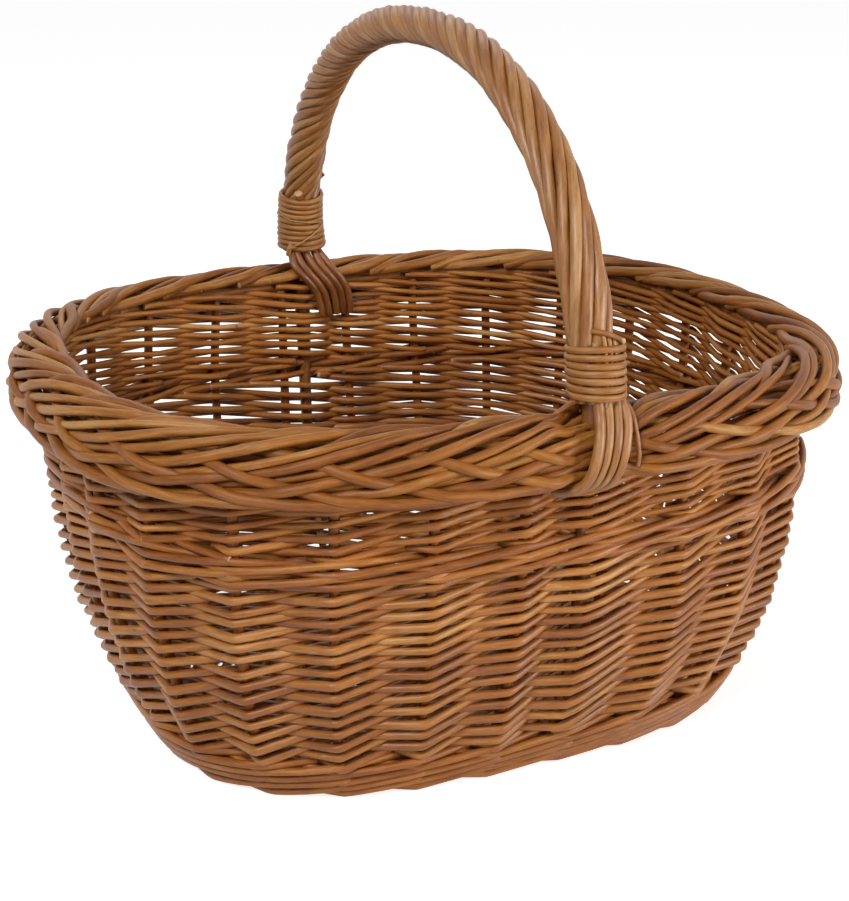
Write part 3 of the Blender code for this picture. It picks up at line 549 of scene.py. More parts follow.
def siding(node, levels, rows, radii, finish):
    """French randing: two rods start at every stake, and all climb side by side up to their tips."""
    rods = Rods()
    bottom, top = levels
    butt, tip = radii
    ripples = [(wave, rng.uniform(0, PHASES), rng.normal(0, RIPPLE_STRENGTH)) for wave in RIPPLE_WAVES]
    pitch = (top - bottom) / rows
    for k in range(STAKES):
        for second in (0, 1):
            hidden = (k + second) % 2 == 0
            lead = HIDDEN_LEAD if hidden else OPEN_LEAD
            places = row_places(k - lead, (rows - 1 - second) / 2 + lead + TIP_OVERRUN)
            share = ((places - k) * 2 + second) / rows
            radius = (butt + (tip - butt) * share) * rng.uniform(*ROD_SPREAD)
            radius = radius * (1 + wander(places, THICKNESS_WAVES, THICKNESS_WAVER))
            packed = (butt * share + (tip - butt) * share**2 / 2) / ((butt + tip) / 2)
            height = bottom + 0.5 * pitch + (top - bottom) * packed
            for wave, phase, strength in ripples:
                ripple = np.sin(2 * math.pi * wave * places / STAKES + phase + RIPPLE_DRIFT * share)
                height = height + strength * pitch * ripple * np.sin(math.pi * share.clip(0, 1))
            height = height + wander(places, HEIGHT_WAVES, HEIGHT_WAVER * pitch)
            line, out = woven(places, np.clip(height, bottom + pitch / 2, top), second, radius)
            if hidden:
                line -= out * (np.exp(-((places - places[0]) / BUTT_STAKES) ** 2) * BUTT_PUSH)[:, None]
            rods.add(line, radius, out, tint_near(*SIDING_TINT), SIDING_SQUASH)
    rods.make(f"{node}_rows", finish, f"{node}_willow", node)


LOWER_LEVELS = (UPSETT_TOP - 3.5 * MM, MID_WALE_BOTTOM + 7 * MM)
UPPER_LEVELS = (MID_WALE_TOP - 5.5 * MM, BODY_HEIGHT + 20.5 * MM)
LOWER_ROWS, LOWER_RADII = 33, (2.6 * MM, 2.05 * MM)
UPPER_ROWS, UPPER_RADII = 20, (1.98 * MM, 1.88 * MM)
siding("lower_siding", LOWER_LEVELS, LOWER_ROWS, LOWER_RADII, SIDING_WILLOW)
siding("upper_siding", UPPER_LEVELS, UPPER_ROWS, UPPER_RADII, UPPER_PAINTED_LIGHT_WILLOW)

# A wale's rods bend over this much of the way to the next stake, and stand off the stakes a little.
# In radii, a rod lies level inside, then low and then high outside, and the first this far up
WALE_CORNER = 0.06
WALE_STAND_OFF = 1.04
WALE_ROUNDS = 2
WALE_LEVELS = (0.0, -1.2, 1.2)
WALE_START = 1.2
WALE_THICKNESS_WAVES = (5, 9)
WALE_WAVES, WALE_WAVER = (1, 3, 5, 11), 0.45 * MM
WALE_TINT = (0.48, 0.12)
# The lowest rods' middles stay this many of their own radii above the floor
FLOOR_SHARE = 1.15


def wale(bottom, rise, radius, first, depth=1.0):
    """Three rods worked round together: each goes before two stakes and behind one, and climbs."""
    rods = Rods()
    for weaver in range(3):
        places = row_places(first + weaver, WALE_ROUNDS * STAKES)
        around = np.arange(math.floor(places[0]) - 2, math.ceil(places[-1]) + 3)
        phase = (around - first - weaver) % 3
        side = np.where(phase == 0, -depth, 1)
        level = np.choose(phase, WALE_LEVELS)
        size = radius * (1 + wander(places, WALE_THICKNESS_WAVES, THICKNESS_WAVER))
        outward = rounded(lambda at: np.interp(at, around, side), places, WALE_CORNER)
        outward = outward * (STAKE_RADIUS + size) * WALE_STAND_OFF
        stack = np.interp(places, around, level) * radius
        climb = (places - places[0]) / STAKES * rise
        height = bottom + radius * WALE_START + climb + stack + wander(places, WALE_WAVES, WALE_WAVER)
        line, out = wall(places, height, outward)
        line[:, 2] = np.maximum(line[:, 2], size * FLOOR_SHARE)
        rods.add(line, size, out, tint_near(*WALE_TINT))
    return rods


upsett = wale(UPSETT_TOP - 12.6 * MM, 5.6 * MM, 2.15 * MM, 4)
upsett.make("upsett_wale_rods", WALE_WILLOW, "upsett_willow", "upsett_wale")
foot = wale(2.2 * MM, 5.0 * MM, 2.3 * MM, 17, 0.15)
foot.make("upsett_first_rods", WALE_WILLOW, "upsett_willow", "upsett_first_round")
belt = wale(MID_WALE_BOTTOM - 1.0 * MM, 6.2 * MM, 2.1 * MM, 7)
belt.make("mid_wale_rods", WALE_WILLOW, "mid_wale_willow", "mid_wale")

# A stake's root in the base: how far in from the wall's middle its points lie, and how far the
# last one is lifted as the rod turns up
ROOT_INWARD = np.array([30, 12, 5.5, 2.4]) * MM
ROOT_LIFT = 1.2 * MM
STAKE_START, STAKE_END = STICK_HEIGHT + 6 * MM, BODY_HEIGHT + 14 * MM
STAKE_POINTS = 24
STAKE_SWAY = 0.012
STAKE_TAPER = (1.04, 0.98)
# The stakes are toned dark: painted shade for the shade they stand in behind the weavers
STAKE_PAINTED_SHADE_TINT = (0.32, 0.12)


def stakes():
    """The upright rods, from the base's edge up into the border, a little crooked each, toned dark as
    painted shade.
    """
    rods = Rods(THICK_SIDES)
    heights = np.linspace(STAKE_START, STAKE_END, STAKE_POINTS)
    for k in range(STAKES):
        sway = soften(rng.normal(0, STAKE_SWAY, STAKE_POINTS), 6)
        line, out = wall(k + sway, heights)
        root, _ = wall(k, STICK_HEIGHT, -ROOT_INWARD)
        root[-1, 2] += ROOT_LIFT
        line = np.concatenate([root, line])
        out = np.concatenate([np.tile([0.0, 0.0, 1.0], (len(root), 1)), out])
        radius = STAKE_RADIUS * np.linspace(*STAKE_TAPER, len(line))
        rods.add(line, radius, out, tint_near(*STAKE_PAINTED_SHADE_TINT))
    rods.make("stakes", STAKE_PAINTED_SHADE_WILLOW, "stake_willow", *[f"stake_{k + 1:02d}" for k in range(STAKES)])


stakes()

# The border's middle surface across the rim, from its outer lower edge to its inner edge:
# how far across, then out from the wall's middle and up from the wall's top in millimetres
BORDER_SECTION = (
    (-1.00, 18.0, -0.8), (-0.70, 19.3, 5.0), (-0.40, 19.4, 12.0), (-0.10, 18.0, 19.4),
    (0.20, 13.2, 24.8), (0.50, 6.6, 26.4), (0.75, 0.0, 26.0), (1.00, -6.4, 24.4),
)


def border_point(place, across, lift):
    """Points of the border: across runs from -1 outside to 1 inside, lift is off its surface."""
    keys = through(BORDER_SECTION, 81, passes=40)
    slopes = np.gradient(keys[:, 1:], axis=0)
    slopes /= np.linalg.norm(slopes, axis=1)[:, None]
    section = read_off(across, keys[:, 0], np.column_stack([keys[:, 1:] * MM, slopes]))
    reach = section[:, 0] + section[:, 3] * lift
    rise = section[:, 1] - section[:, 2] * lift
    line, out = wall(place, BODY_HEIGHT, reach)
    line[:, 2] = BODY_HEIGHT + rise
    return line, out


# One border rod: stakes along from its own, way across the border, and lift in millimetres
BORDER_ROUTE = (
    (-0.30, 0.62, -12.0), (-0.12, 0.42, -6.0), (0.05, 0.36, -0.8), (0.32, 0.60, 2.6),
    (0.66, 0.93, 2.8), (1.10, 1.02, 0.8), (1.60, 0.88, -2.8), (2.00, 0.56, -3.2),
    (2.40, 0.22, -3.2), (2.80, -0.10, -2.2), (3.00, -0.24, 0.8), (3.22, -0.37, 3.0),
    (3.42, -0.47, 0.4), (3.60, -0.58, -2.6), (3.84, -0.70, 0.2), (4.10, -0.82, 2.8),
    (4.65, -0.94, 2.6), (5.20, -0.98, 1.2), (5.65, -0.95, -1.8), (6.10, -0.82, -2.8),
    (6.35, -0.72, -0.4), (6.60, -0.60, 2.8), (6.92, -0.46, 1.0), (7.22, -0.37, -2.4),
    (7.50, -0.25, 0.0), (7.80, -0.11, 2.4), (8.40, 0.22, 2.9), (9.00, 0.58, 2.7),
    (9.40, 0.84, 1.8), (9.75, 1.01, -1.6),
)

# The thinner rod laid in beside it, from past half way along
BORDER_FILL_ROUTE = (
    (6.30, -0.66, -4.2), (6.90, -0.50, -3.4), (7.40, -0.30, -1.6), (7.80, -0.12, 1.2),
    (8.40, 0.18, 2.2), (9.00, 0.54, 2.2), (9.40, 0.80, 1.4), (9.80, 1.00, -1.4),
)

# Rod ends laid round inside the border: out from the wall's middle and up from the wall's top. They are
# real rods, and their dark tone is painted shade for the hollow they fill
BORDER_CORE = ((12.5, 4.0), (12.0, 11.5), (8.5, 18.0), (0.5, 17.5))

# Under the front tails the border's rods are pressed in: where, how far to each side, how deep in
# millimetres, and how much of their own weaving is left
FRONT_TAILS_PLACE = FRONT_BOW - 0.02
HOLLOW_REACH, HOLLOW_SLOPE = 1.9, 0.36
HOLLOW_DEPTH, HOLLOW_WEAVE = 4.6, 0.4
# The hollow fades towards the inner edge, between these places across
HOLLOW_INNER, HOLLOW_OUTER = 0.9, 0.5
BORDER_RADIUS, FILL_RADIUS, CORE_RADIUS = 2.8 * MM, 2.35 * MM, 3.1 * MM
# The thin rod starts this far past the thick one, in stakes. Both wander round and across
FILL_START = 0.46
ROUND_WAVES, ROUND_WANDER = (3, 5), 0.08
ACROSS_WAVES, ACROSS_WANDER = (3, 5, 8), 0.036
BORDER_TAPER, BORDER_ROUGH = (1.06, 0.86), 0.04
BORDER_SPREAD, FILL_SPREAD = (0.92, 1.1), (0.9, 1.12)
# The core rods' dark tone is painted shade for the border's hollow
BORDER_TINT, FILL_TINT_SPREAD, CORE_PAINTED_SHADE_TINT = (0.53, 0.15), 0.1, 0.3
ROUTE_POINTS, FILL_POINTS, CORE_POINTS = 190, 76, 150
# A ring's end lies past its beginning by this much, in stakes
RING_OVERLAP, BASE_OVERLAP = 0.2, 0.3


def border_rod(rods, k, route, radius, tint):
    """One rod of the border, its route counted from stake k."""
    places = k + route[:, 0] + wander(route[:, 0], ROUND_WAVES, ROUND_WANDER)
    across = route[:, 1] + wander(route[:, 0], ACROSS_WAVES, ACROSS_WANDER)
    near = np.clip(HOLLOW_REACH - np.abs(places - FRONT_TAILS_PLACE) / HOLLOW_SLOPE, 0, 1)
    near *= near * (3 - 2 * near)
    near *= np.clip((HOLLOW_INNER - across) / (HOLLOW_INNER - HOLLOW_OUTER), 0, 1)
    lift = (route[:, 2] * (1 - (1 - HOLLOW_WEAVE) * near) - HOLLOW_DEPTH * near) * MM
    line, out = border_point(places, across, lift)
    rods.add(line, radius * np.linspace(*BORDER_TAPER, len(line)), out, tint)


def plaited_border():
    """A rod from each stake, laid along the rim over and under the others, and a thin one beside it."""
    rods = Rods(THICK_SIDES, BORDER_ROUGH)
    route = through(BORDER_ROUTE, ROUTE_POINTS, passes=5)
    fill = through(BORDER_FILL_ROUTE, FILL_POINTS, passes=4)
    for k in range(STAKES):
        tint = tint_near(*BORDER_TINT)
        border_rod(rods, k, route, BORDER_RADIUS * rng.uniform(*BORDER_SPREAD), tint)
        thin = FILL_RADIUS * rng.uniform(*FILL_SPREAD)
        fill_tint = np.clip(tint + rng.normal(0, FILL_TINT_SPREAD), 0, 1)
        border_rod(rods, k + FILL_START, fill, thin, fill_tint)
    places = np.linspace(0, STAKES + RING_OVERLAP, CORE_POINTS)
    for outward, rise in BORDER_CORE:
        line, out = wall(places, BODY_HEIGHT, outward * MM)
        line[:, 2] += rise * MM
        rods.add(line, CORE_RADIUS, out, CORE_PAINTED_SHADE_TINT)
    rods.make("plaited_border_rods", BORDER_PAINTED_SHADE_WILLOW, "plaited_border_willow", "plaited_border")


plaited_border()

# Handle: its arch, the rope's rods and how far their middles and the bindings stand from its middle
# line. It sways to the left on its way over to the back
BOW_LEAN = 20 * MM
FOOT_OUT = 6.0 * MM
ARCH_SQUARENESS = 2.19
ROPING_RODS = 9
ROPING_ROD = 3.0 * MM
ROPING_RADIUS = 12.1 * MM
ROPING_CROWN = 9.9 * MM
NECK_RADIUS = 11.2 * MM
NECK_LENGTH = 14 * MM
ARCH_BASE = BODY_HEIGHT + BOW_LEAN
ARCH_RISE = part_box("handle_roping")[1].z - ROPING_CROWN - ARCH_BASE
SWAY = 3.2 * MM


class Arch:
    """The middle line of the handle from its front foot over to its back foot."""

    def __init__(self):
        half_width = middle_at(BODY_HEIGHT)[1] + FOOT_OUT
        self.front = np.array([FRONT_FOOT_X, -half_width, ARCH_BASE])
        self.back = np.array([BACK_FOOT_X, half_width, ARCH_BASE])
        middle, span = (self.front + self.back) / 2, self.back - self.front
        run = span / np.linalg.norm(span)
        self.across = np.cross(run, (0, 0, 1))
        angles = np.linspace(0, math.pi, ARCH_STEPS)
        power = 2 / ARCH_SQUARENESS
        c, s = np.cos(angles), np.sin(angles).clip(0)
        self.points = (
            middle
            - np.outer(np.sign(c) * np.abs(c) ** power, span / 2)
            + np.outer(s**power * ARCH_RISE, (0, 0, 1))
        )
        self.points[:, 0] -= SWAY * s * (1 - c) / 2
        self.lengths = lengths_along(self.points)
        self.length = float(self.lengths[-1])

    def point_at(self, length):
        """Points at these lengths from the front foot."""
        return read_off(length, self.lengths, self.points)

    def at(self, length):
        """Points, directions and outward directions at these lengths from the front foot."""
        length = np.asarray(length, float)
        after = self.point_at(np.minimum(length + ARCH_SLOPE_STEP, self.length))
        ahead = after - self.point_at(np.maximum(length - ARCH_SLOPE_STEP, 0))
        ahead /= np.linalg.norm(ahead, axis=-1)[..., None]
        return self.point_at(length), ahead, np.cross(self.across, ahead)

    def round_about(self, length, angle, radius):
        """Points that lie this far from the middle line, turned by an angle round it."""
        middle, _, outward = self.at(length)
        c, s = np.cos(angle)[:, None], np.sin(angle)[:, None]
        spoke = self.across * c + outward * s
        return middle + spoke * np.asarray(radius)[..., None], spoke


ARCH = Arch()
# Where the bindings begin and end, up from their own foot
FRONT_BINDING = (17.5 * MM, 42.7 * MM)
BACK_BINDING = (22 * MM, 58 * MM)


def roping_radius(length):
    """Distance from the middle line to the rods' middles: fullest half way up each side."""
    share = length / ARCH.length
    swell = ROPING_CROWN + (1 - (1 - np.abs(2 * share - 1)) ** 2) * (ROPING_RADIUS - ROPING_CROWN)
    front, back = FRONT_BINDING[1], ARCH.length - BACK_BINDING[1]
    drawn_in = np.interp(length, (front, front + NECK_LENGTH, back - NECK_LENGTH, back), (1, 0, 0, 1))
    return swell + (NECK_RADIUS - swell) * drawn_in - ROPING_ROD


# Share of the way from the front foot, and the lay of the rods in degrees off the handle's line
LAY_SHARES = ((0, 6), (0.12, 10), (0.28, 17), (0.42, 25), (0.56, 33), (0.70, 37), (0.86, 31), (1, 24))
# The rope's rods run on inside the bindings and out at their feet by this much. Each is thicker at
# one end, by turns, and wanders a little round the handle and off it
ROPING_OVERRUN = 1.5 * MM
ROPING_TAPER, ROPING_SPREAD = (0.93, 1.07), (0.96, 1.04)
ROPING_POINTS, ROPING_UNEVEN = 150, 0.06
TURN_WAVES, TURN_WANDER = (1, 2, 3), 0.05
LIFT_WAVES, LIFT_WANDER = (2, 4), 0.2 * MM
ROPING_TINT = (0.60, 0.13)


def handle_roping():
    """Nine rods laid round the bow as a loose rope, tighter towards the back foot."""
    rods = Rods(THICK_SIDES)
    start, end = FRONT_BINDING[0] - ROPING_OVERRUN, ARCH.length - BACK_BINDING[0] + ROPING_OVERRUN
    length = np.linspace(start, end, ROPING_POINTS)
    lay = np.radians(np.interp(length / ARCH.length, *zip(*LAY_SHARES)))
    ring = roping_radius(length)
    turn = -np.concatenate([[0], np.cumsum(np.diff(length) * np.tan(lay[1:]) / ring[1:])])
    taper = np.linspace(*ROPING_TAPER, len(length))
    whole = length / ARCH.length * STAKES
    for i in range(ROPING_RODS):
        uneven = rng.uniform(-ROPING_UNEVEN, ROPING_UNEVEN)
        first_turn = 2 * math.pi * (i + uneven) / ROPING_RODS
        waver = wander(whole, TURN_WAVES, TURN_WANDER)
        lift = wander(whole, LIFT_WAVES, LIFT_WANDER)
        line, spoke = ARCH.round_about(length, first_turn + turn + waver, ring + lift)
        radius = ROPING_ROD * (taper[::-1] if i % 2 else taper) * rng.uniform(*ROPING_SPREAD)
        rods.add(line, radius, spoke, tint_near(*ROPING_TINT))
    rods.make("handle_roping_rods", HANDLE_PAINTED_SHADE_WILLOW, "roping_willow", "handle_roping")


handle_roping()

# The bow's feet begin this high in the wall, and their taper as shares of its radius
BOW_START, BOW_SLYPE = UPSETT_TOP + 4 * MM, (0.4, 0.96)
BOW_TINT = 0.35
BOW_FOOT_POINTS, BOW_ARCH_POINTS = 14, 90


def handle_bow():
    """The thick rod inside the roping, its feet cut to a long taper and pushed down the wall."""
    rods = Rods(THICK_SIDES)
    down = np.linspace(BOW_START, BODY_HEIGHT, BOW_FOOT_POINTS)
    front, _ = wall(FRONT_BOW, down)
    back, _ = wall(BACK_BOW, down[::-1])
    arch = ARCH.point_at(np.linspace(0, ARCH.length, BOW_ARCH_POINTS))
    line = soften(np.concatenate([front, arch, back]), 3)
    slype = np.linspace(*BOW_SLYPE, len(down))
    radius = BOW_RADIUS * np.concatenate([slype, np.ones(len(arch)), slype[::-1]])
    rods.add(line, radius, ARCH.across, BOW_TINT)
    rods.make("handle_bow_rod", HANDLE_PAINTED_SHADE_WILLOW, "bow_willow", "handle_bow")


handle_bow()

# The bindings' rods, and how far the front and back ones sit to the right of the handle's middle and
# flare at the foot. A binding that sits off the middle is wider by a share of that
BINDING_ROD, BINDING_SQUASH, BINDING_TINT = 1.78 * MM, 0.82, 0.72
BINDING_OUT = 1.45 * MM
BINDING_SHIFT = ((2.2 * MM, 0.0), (0.2 * MM, 1.7 * MM))
WIDER_SHARE = 0.4
BINDING_SLIP, BINDING_SLACK = 0.5 * MM, 0.3 * MM
# How many times they go round, and the angle that they begin at
TURN_POINTS, BIT_POINTS = 20, 24
FRONT_TURNS, BACK_TURNS = 7, 10
FRONT_START, BACK_START = 0.4, 2.2
# Bits of rod at a binding: how far up from the foot, the turn in degrees and how far from the
# handle's middle line, then their half thickness and their tint. Lengths are in millimetres
FRONT_BITS = (
    (((49, 118, 9), (47.5, 88, 12.9), (44.5, 56, 14), (42.5, 32, 13.6)), 1.4, 0.45),
    (((48, 88, 10), (45, 88, 12.3), (30, 87, 12.4), (14, 88, 11)), 1.0, 0.95),
    (((47, 74, 10), (44, 74, 12.5), (30, 73, 12.7), (14, 74, 11)), 1.0, 0.90),
    (((46.5, 60, 10), (44, 60, 12.9), (30, 60, 13.2), (14, 60, 11)), 1.0, 0.95),
)
BACK_BITS = (
    (((56, 242, 8), (60, 240, 12.0), (62.5, 238, 12.8)), 2.8, 0.62),
    (((60, 5, 9), (67, 2, 12), (69, 0, 14)), 1.5, 0.05),
    (((46, 8, 14.4), (42, 330, 15.4), (36, 290, 16.0), (29, 252, 16.4), (23, 222, 16.6)), 0.42, 1.0),
    (((27, 226, 13), (22, 222, 15.4), (19, 220, 14.8)), 1.6, 0.75),
)


def binding(node, ends, turns, back, bits):
    """One thin rod wound close round a foot of the handle, with the bits of rod that show beside it."""
    rods = Rods()
    count = turns * TURN_POINTS + 1
    share = np.linspace(0, 1, count)
    length = ends[0] + (ends[1] - ends[0]) * share
    length = length + soften(rng.normal(0, BINDING_SLIP, count), 8)
    shift, flare = BINDING_SHIFT[back]
    spread = flare * (1 - share) ** 2
    radius = NECK_RADIUS + BINDING_OUT + shift * WIDER_SHARE + spread
    radius = radius + soften(rng.normal(0, BINDING_SLACK, count), 6)
    angle = 2 * math.pi * turns * share + (BACK_START if back else FRONT_START)
    line, spoke = ARCH.round_about(ARCH.length - length if back else length, angle, radius)
    line += np.outer(shift + spread, ARCH.across)
    rods.add(line, BINDING_ROD, spoke, BINDING_TINT, BINDING_SQUASH)
    for keys, thickness, tint in bits:
        keys = through([(i, *key) for i, key in enumerate(keys)], BIT_POINTS, passes=4)[:, 1:]
        away = ARCH.length - keys[:, 0] * MM if back else keys[:, 0] * MM
        line, spoke = ARCH.round_about(away, np.radians(keys[:, 1]), keys[:, 2] * MM)
        rods.add(line, thickness * MM, spoke, tint)
    rods.make(f"{node}_rod", BINDING_PAINTED_SHADE_WILLOW, "binding_willow", node)


binding("front_binding", FRONT_BINDING, FRONT_TURNS, False, FRONT_BITS)
binding("back_binding", BACK_BINDING, BACK_TURNS, True, BACK_BITS)

# A tail's way: up from the wall's top, out from the wall's middle and to the right, in millimetres
FRONT_TAIL_ROUTE = (
    (30.5, 16.9, -0.2), (25.0, 19.6, -0.8), (17.0, 22.6, -2.8), (8.0, 23.4, -5.2),
    (1.0, 22.6, -7.4), (-4.0, 18.8, -10.5), (-7.0, 13.0, -14.5), (-7.8, 8.5, -19.5),
)
# A thinner rod on the right of them, and one on the left that ends inside the border
RIGHT_STRAY_ROUTE = (
    (30.5, 16.5, 0.2), (20.0, 20.0, 1.2), (10.0, 21.0, 2.4), (4.0, 19.0, 2.8),
)
LEFT_STRAY_ROUTE = (
    (31.0, 0.5, -1.0), (26.0, -4.0, -4.5), (20.0, -8.0, -8.0),
)
INNER_TAIL_ROUTE = (
    (31.8, -2.1, 1.0), (28.0, -4.5, 1.2), (22.8, -7.2, 1.4), (15.6, -8.6, 1.6),
    (-6.0, -9.0, 2.0),
)
BACK_TAIL_ROUTE = (
    (31.8, -9.0, 3.0), (26.7, -12.2, 7.0), (20.8, -12.6, 12.0), (14.0, -11.4, 16.5),
    (6.0, -10.6, 18.4), (-1.0, -9.8, 19.4),
)
# How far the tails' tops stand from the handle's middle line, and the middles and spacing of the
# front's outer and inner tails. The back's two left tails stand a little apart
TAIL_RING = 8.3 * MM
OUTER_MIDDLE, OUTER_PITCH = 5.4 * MM, 5 * MM
INNER_MIDDLE, INNER_PITCH = -3 * MM, 4.9 * MM
BACK_PITCH, BACK_GAP = 5.5 * MM, 1.2 * MM
OUTER_RADII = (2.9 * MM, 2.45 * MM, 2.3 * MM, 2.4 * MM)
INNER_RADIUS, BACK_RADIUS = 2.35 * MM, 2.45 * MM
# The back's tails are gathered by this share, from this many millimetres above the wall's top and
# over this many
BACK_GATHER = 0.22
GATHER_TOP, GATHER_LENGTH = 31.8, 38
TAIL_TAPER, TAIL_POINTS, TAIL_PASSES = (1.0, 0.88), 60, 14
# The back's tails are toned dark: painted shade for the shade inside the back of the basket
OUTER_TINTS, INNER_TINT, BACK_PAINTED_SHADE_TINTS = (0.66, 0.72), 0.55, (0.24, 0.29, 0.34)
# The back's tails begin at this share of their binding's height. A tail is drawn in where it would
# stand out of its binding, which has this share of its flare there
BACK_HELD, FLARE_ROOM = 0.6, 0.5


def tail(rods, side, place, route, outward, radius, tint, gather=0.0, held_share=1.0):
    """One handle rod below its binding, from inside the binding down to its tucked or cut end."""
    end = FRONT_BINDING[0] if side < 0 else ARCH.length - BACK_BINDING[0]
    top = FRONT_BINDING[1] if side < 0 else ARCH.length - BACK_BINDING[1] * BACK_HELD
    top = end + (top - end) * held_share
    shift, flare = BINDING_SHIFT[side > 0]
    reach = np.array([place - shift, outward * TAIL_RING])
    room = NECK_RADIUS + shift * WIDER_SHARE + flare * FLARE_ROOM - radius
    reach *= min(1.0, room / np.linalg.norm(reach))
    points = []
    for length in np.linspace(top, end, 4):
        foot, _, away = ARCH.at(length)
        points.append(foot + ARCH.across * (shift + reach[0]) + away * reach[1])
    wall_half = middle_at(BODY_HEIGHT)[1]
    foot_x = ARCH.at(end)[0][0] + place
    for height, away, right in route:
        drawn_in = place * gather * (GATHER_TOP - height) / GATHER_LENGTH
        x = foot_x + right * MM - drawn_in
        points.append((x, side * (wall_half + away * MM), BODY_HEIGHT + height * MM))
    points = np.array(points)
    line = through(np.column_stack([lengths_along(points), points]), TAIL_POINTS, TAIL_PASSES)[:, 1:]
    rods.add(line, radius * np.linspace(*TAIL_TAPER, len(line)), (1, 0, 0), tint)


def tails():
    """The rods that run on from the handle: outside and inside the front, inside the back."""
    outer, inner, far = Rods(THICK_SIDES), Rods(THICK_SIDES), Rods(THICK_SIDES)
    for i, radius in enumerate(OUTER_RADII):
        place = OUTER_MIDDLE + (i - 1.5) * OUTER_PITCH
        tail(outer, -1, place, FRONT_TAIL_ROUTE, 1, radius, OUTER_TINTS[i % 2])
    tail(outer, -1, 15.5 * MM, RIGHT_STRAY_ROUTE, 0.6, 1.3 * MM, 0.50, held_share=0.3)
    tail(inner, -1, -11.5 * MM, LEFT_STRAY_ROUTE, 0.3, 1.5 * MM, 0.70, held_share=0.2)
    for i in range(2):
        place = INNER_MIDDLE + (i - 0.5) * INNER_PITCH
        tail(inner, -1, place, INNER_TAIL_ROUTE, -0.4, INNER_RADIUS, INNER_TINT)
    for i in range(5):
        place = (i - 2) * BACK_PITCH - (BACK_GAP if i < 2 else 0)
        tail(far, 1, place, BACK_TAIL_ROUTE, -1, BACK_RADIUS, BACK_PAINTED_SHADE_TINTS[i % 3], BACK_GATHER)
    for rods, name, slot, count in (
        (outer, "front_tail", "front_tail_willow", 4),
        (inner, "front_inner_tail", "inner_tail_willow", 2),
        (far, "back_tail", "inner_tail_willow", 5),
    ):
        rods.make(f"{name}_rods", HANDLE_PAINTED_SHADE_WILLOW, slot, *[f"{name}_{i + 1}" for i in range(count)])


tails()

# Base: its cross sticks, how the long ones fan out, and the bend of the stakes at its edge
CROSS_PITCH = 28 * MM
CROSS_EACH_WAY = 2
SLATH_HALF_WIDTH = 14.5 * MM
LONG_STICK_FAN = 8.5 * MM
LONG_STICK_REACH = 20 * MM
ELBOW = 5.5 * MM
BASE_ROWS, BASE_ROD = 27, 1.9 * MM
BASE_POINTS, CORNER_POINTS = 340, 240
# Rows that lie inside the first ring of arms, and the shift from where one row begins to the next
INNER_ROWS, ROW_SHIFT = 2, 3.7
# A base row bends over and under an arm within this many stakes of it. Its middle stays this many of
# its radii under the base's top
ARM_CORNER, TOP_SHARE = 0.2, 0.9
BASE_TAPER = (1.05, 0.9)
BASE_TINT = (0.45, 0.14)
# Two last rows between the base and the wall, under the turned-up stakes: how far out from the
# wall's middle and where they begin
CORNER_FILL = ((-3.2 * MM, -6.4), (0.6 * MM, 1.2))
CORNER_FILL_HEIGHT, CORNER_FILL_TINT = 2.3 * MM, 0.4


def arm_places():
    """Every arm of the base sticks: its place and the point where the weaving begins."""
    places = []
    last = CROSS_EACH_WAY + 1
    for middle, side in ((BACK_MIDDLE, 1), (FRONT_MIDDLE, -1)):
        for step in range(-last, last + 1):
            x, y = -side * step * CROSS_PITCH, side * SLATH_HALF_WIDTH
            if abs(step) == last:
                x = math.copysign(CROSS_EACH_WAY * CROSS_PITCH + LONG_STICK_REACH, x)
                y = side * LONG_STICK_FAN
            places.append(((middle + 2 * step) % STAKES, x, y))
    return np.array(sorted(places))


ARMS = arm_places()


def base_weave():
    """Flat rows round and round the base sticks, over one arm and under the next."""
    rods = Rods()
    at = np.concatenate([ARMS[:, 0] - STAKES, ARMS[:, 0], ARMS[:, 0] + STAKES])
    ends = np.tile(ARMS[:, 1:], (3, 1))
    for row in range(-INNER_ROWS, BASE_ROWS):
        share = (row + 0.5) / BASE_ROWS
        places = np.linspace(0, STAKES + BASE_OVERLAP, BASE_POINTS) + row * ROW_SHIFT
        around = places % STAKES
        outer, _ = wall(around, STICK_HEIGHT, -ELBOW)
        level = read_off(around, at, ends) * (1 - share) + outer[:, :2] * share
        side = np.where((np.arange(len(at)) + row) % 2, 1.0, -1.0)
        wave = rounded(lambda place: np.interp(place % STAKES, at, side), places, ARM_CORNER)
        height = STICK_HEIGHT + wave * (STICK_RADIUS + BASE_ROD)
        line = soften(np.column_stack([level, height]), 4)
        line[:, 2] = np.clip(line[:, 2], BASE_ROD * FLOOR_SHARE, BASE_THICKNESS - BASE_ROD * TOP_SHARE)
        radius = BASE_ROD * np.linspace(*BASE_TAPER, len(line))
        rods.add(line, radius, (0, 0, 1), tint_near(*BASE_TINT))
    for outward, first in CORNER_FILL:
        places = np.linspace(0, STAKES + BASE_OVERLAP, CORNER_POINTS) + first
        line, out = wall(places, CORNER_FILL_HEIGHT, outward)
        line[:, 2] = CORNER_FILL_HEIGHT
        rods.add(line, BASE_ROD, out, CORNER_FILL_TINT)
    rods.make("base_weave_rows", BASE_WILLOW, "base_weave_willow", "base_weave")


base_weave()


def stick_finish():
    """Finish of the base sticks that stay as the frame has them, with level streaks as they lie."""
    finish = Finish("base_stick_finish")
    place = finish.add("TexCoord", None, (), "Object")
    streaks = finish.noise(finish.stretch(place, (160, 160, 700)), 1.0, 4.0)
    patches = finish.noise(place, 45.0, 3.0)
    colour = finish.ramp((streaks * 0.6 + patches * 0.4).clamp(), toned((1.0, 1.0, 0.95)))
    bump = finish.bump(0.4, 0.15 * MM, streaks)
    rough = 0.45 + patches * PATCH_GLOSS
    return finish.surface({"Base Color": colour, "Roughness": rough, "Normal": bump})


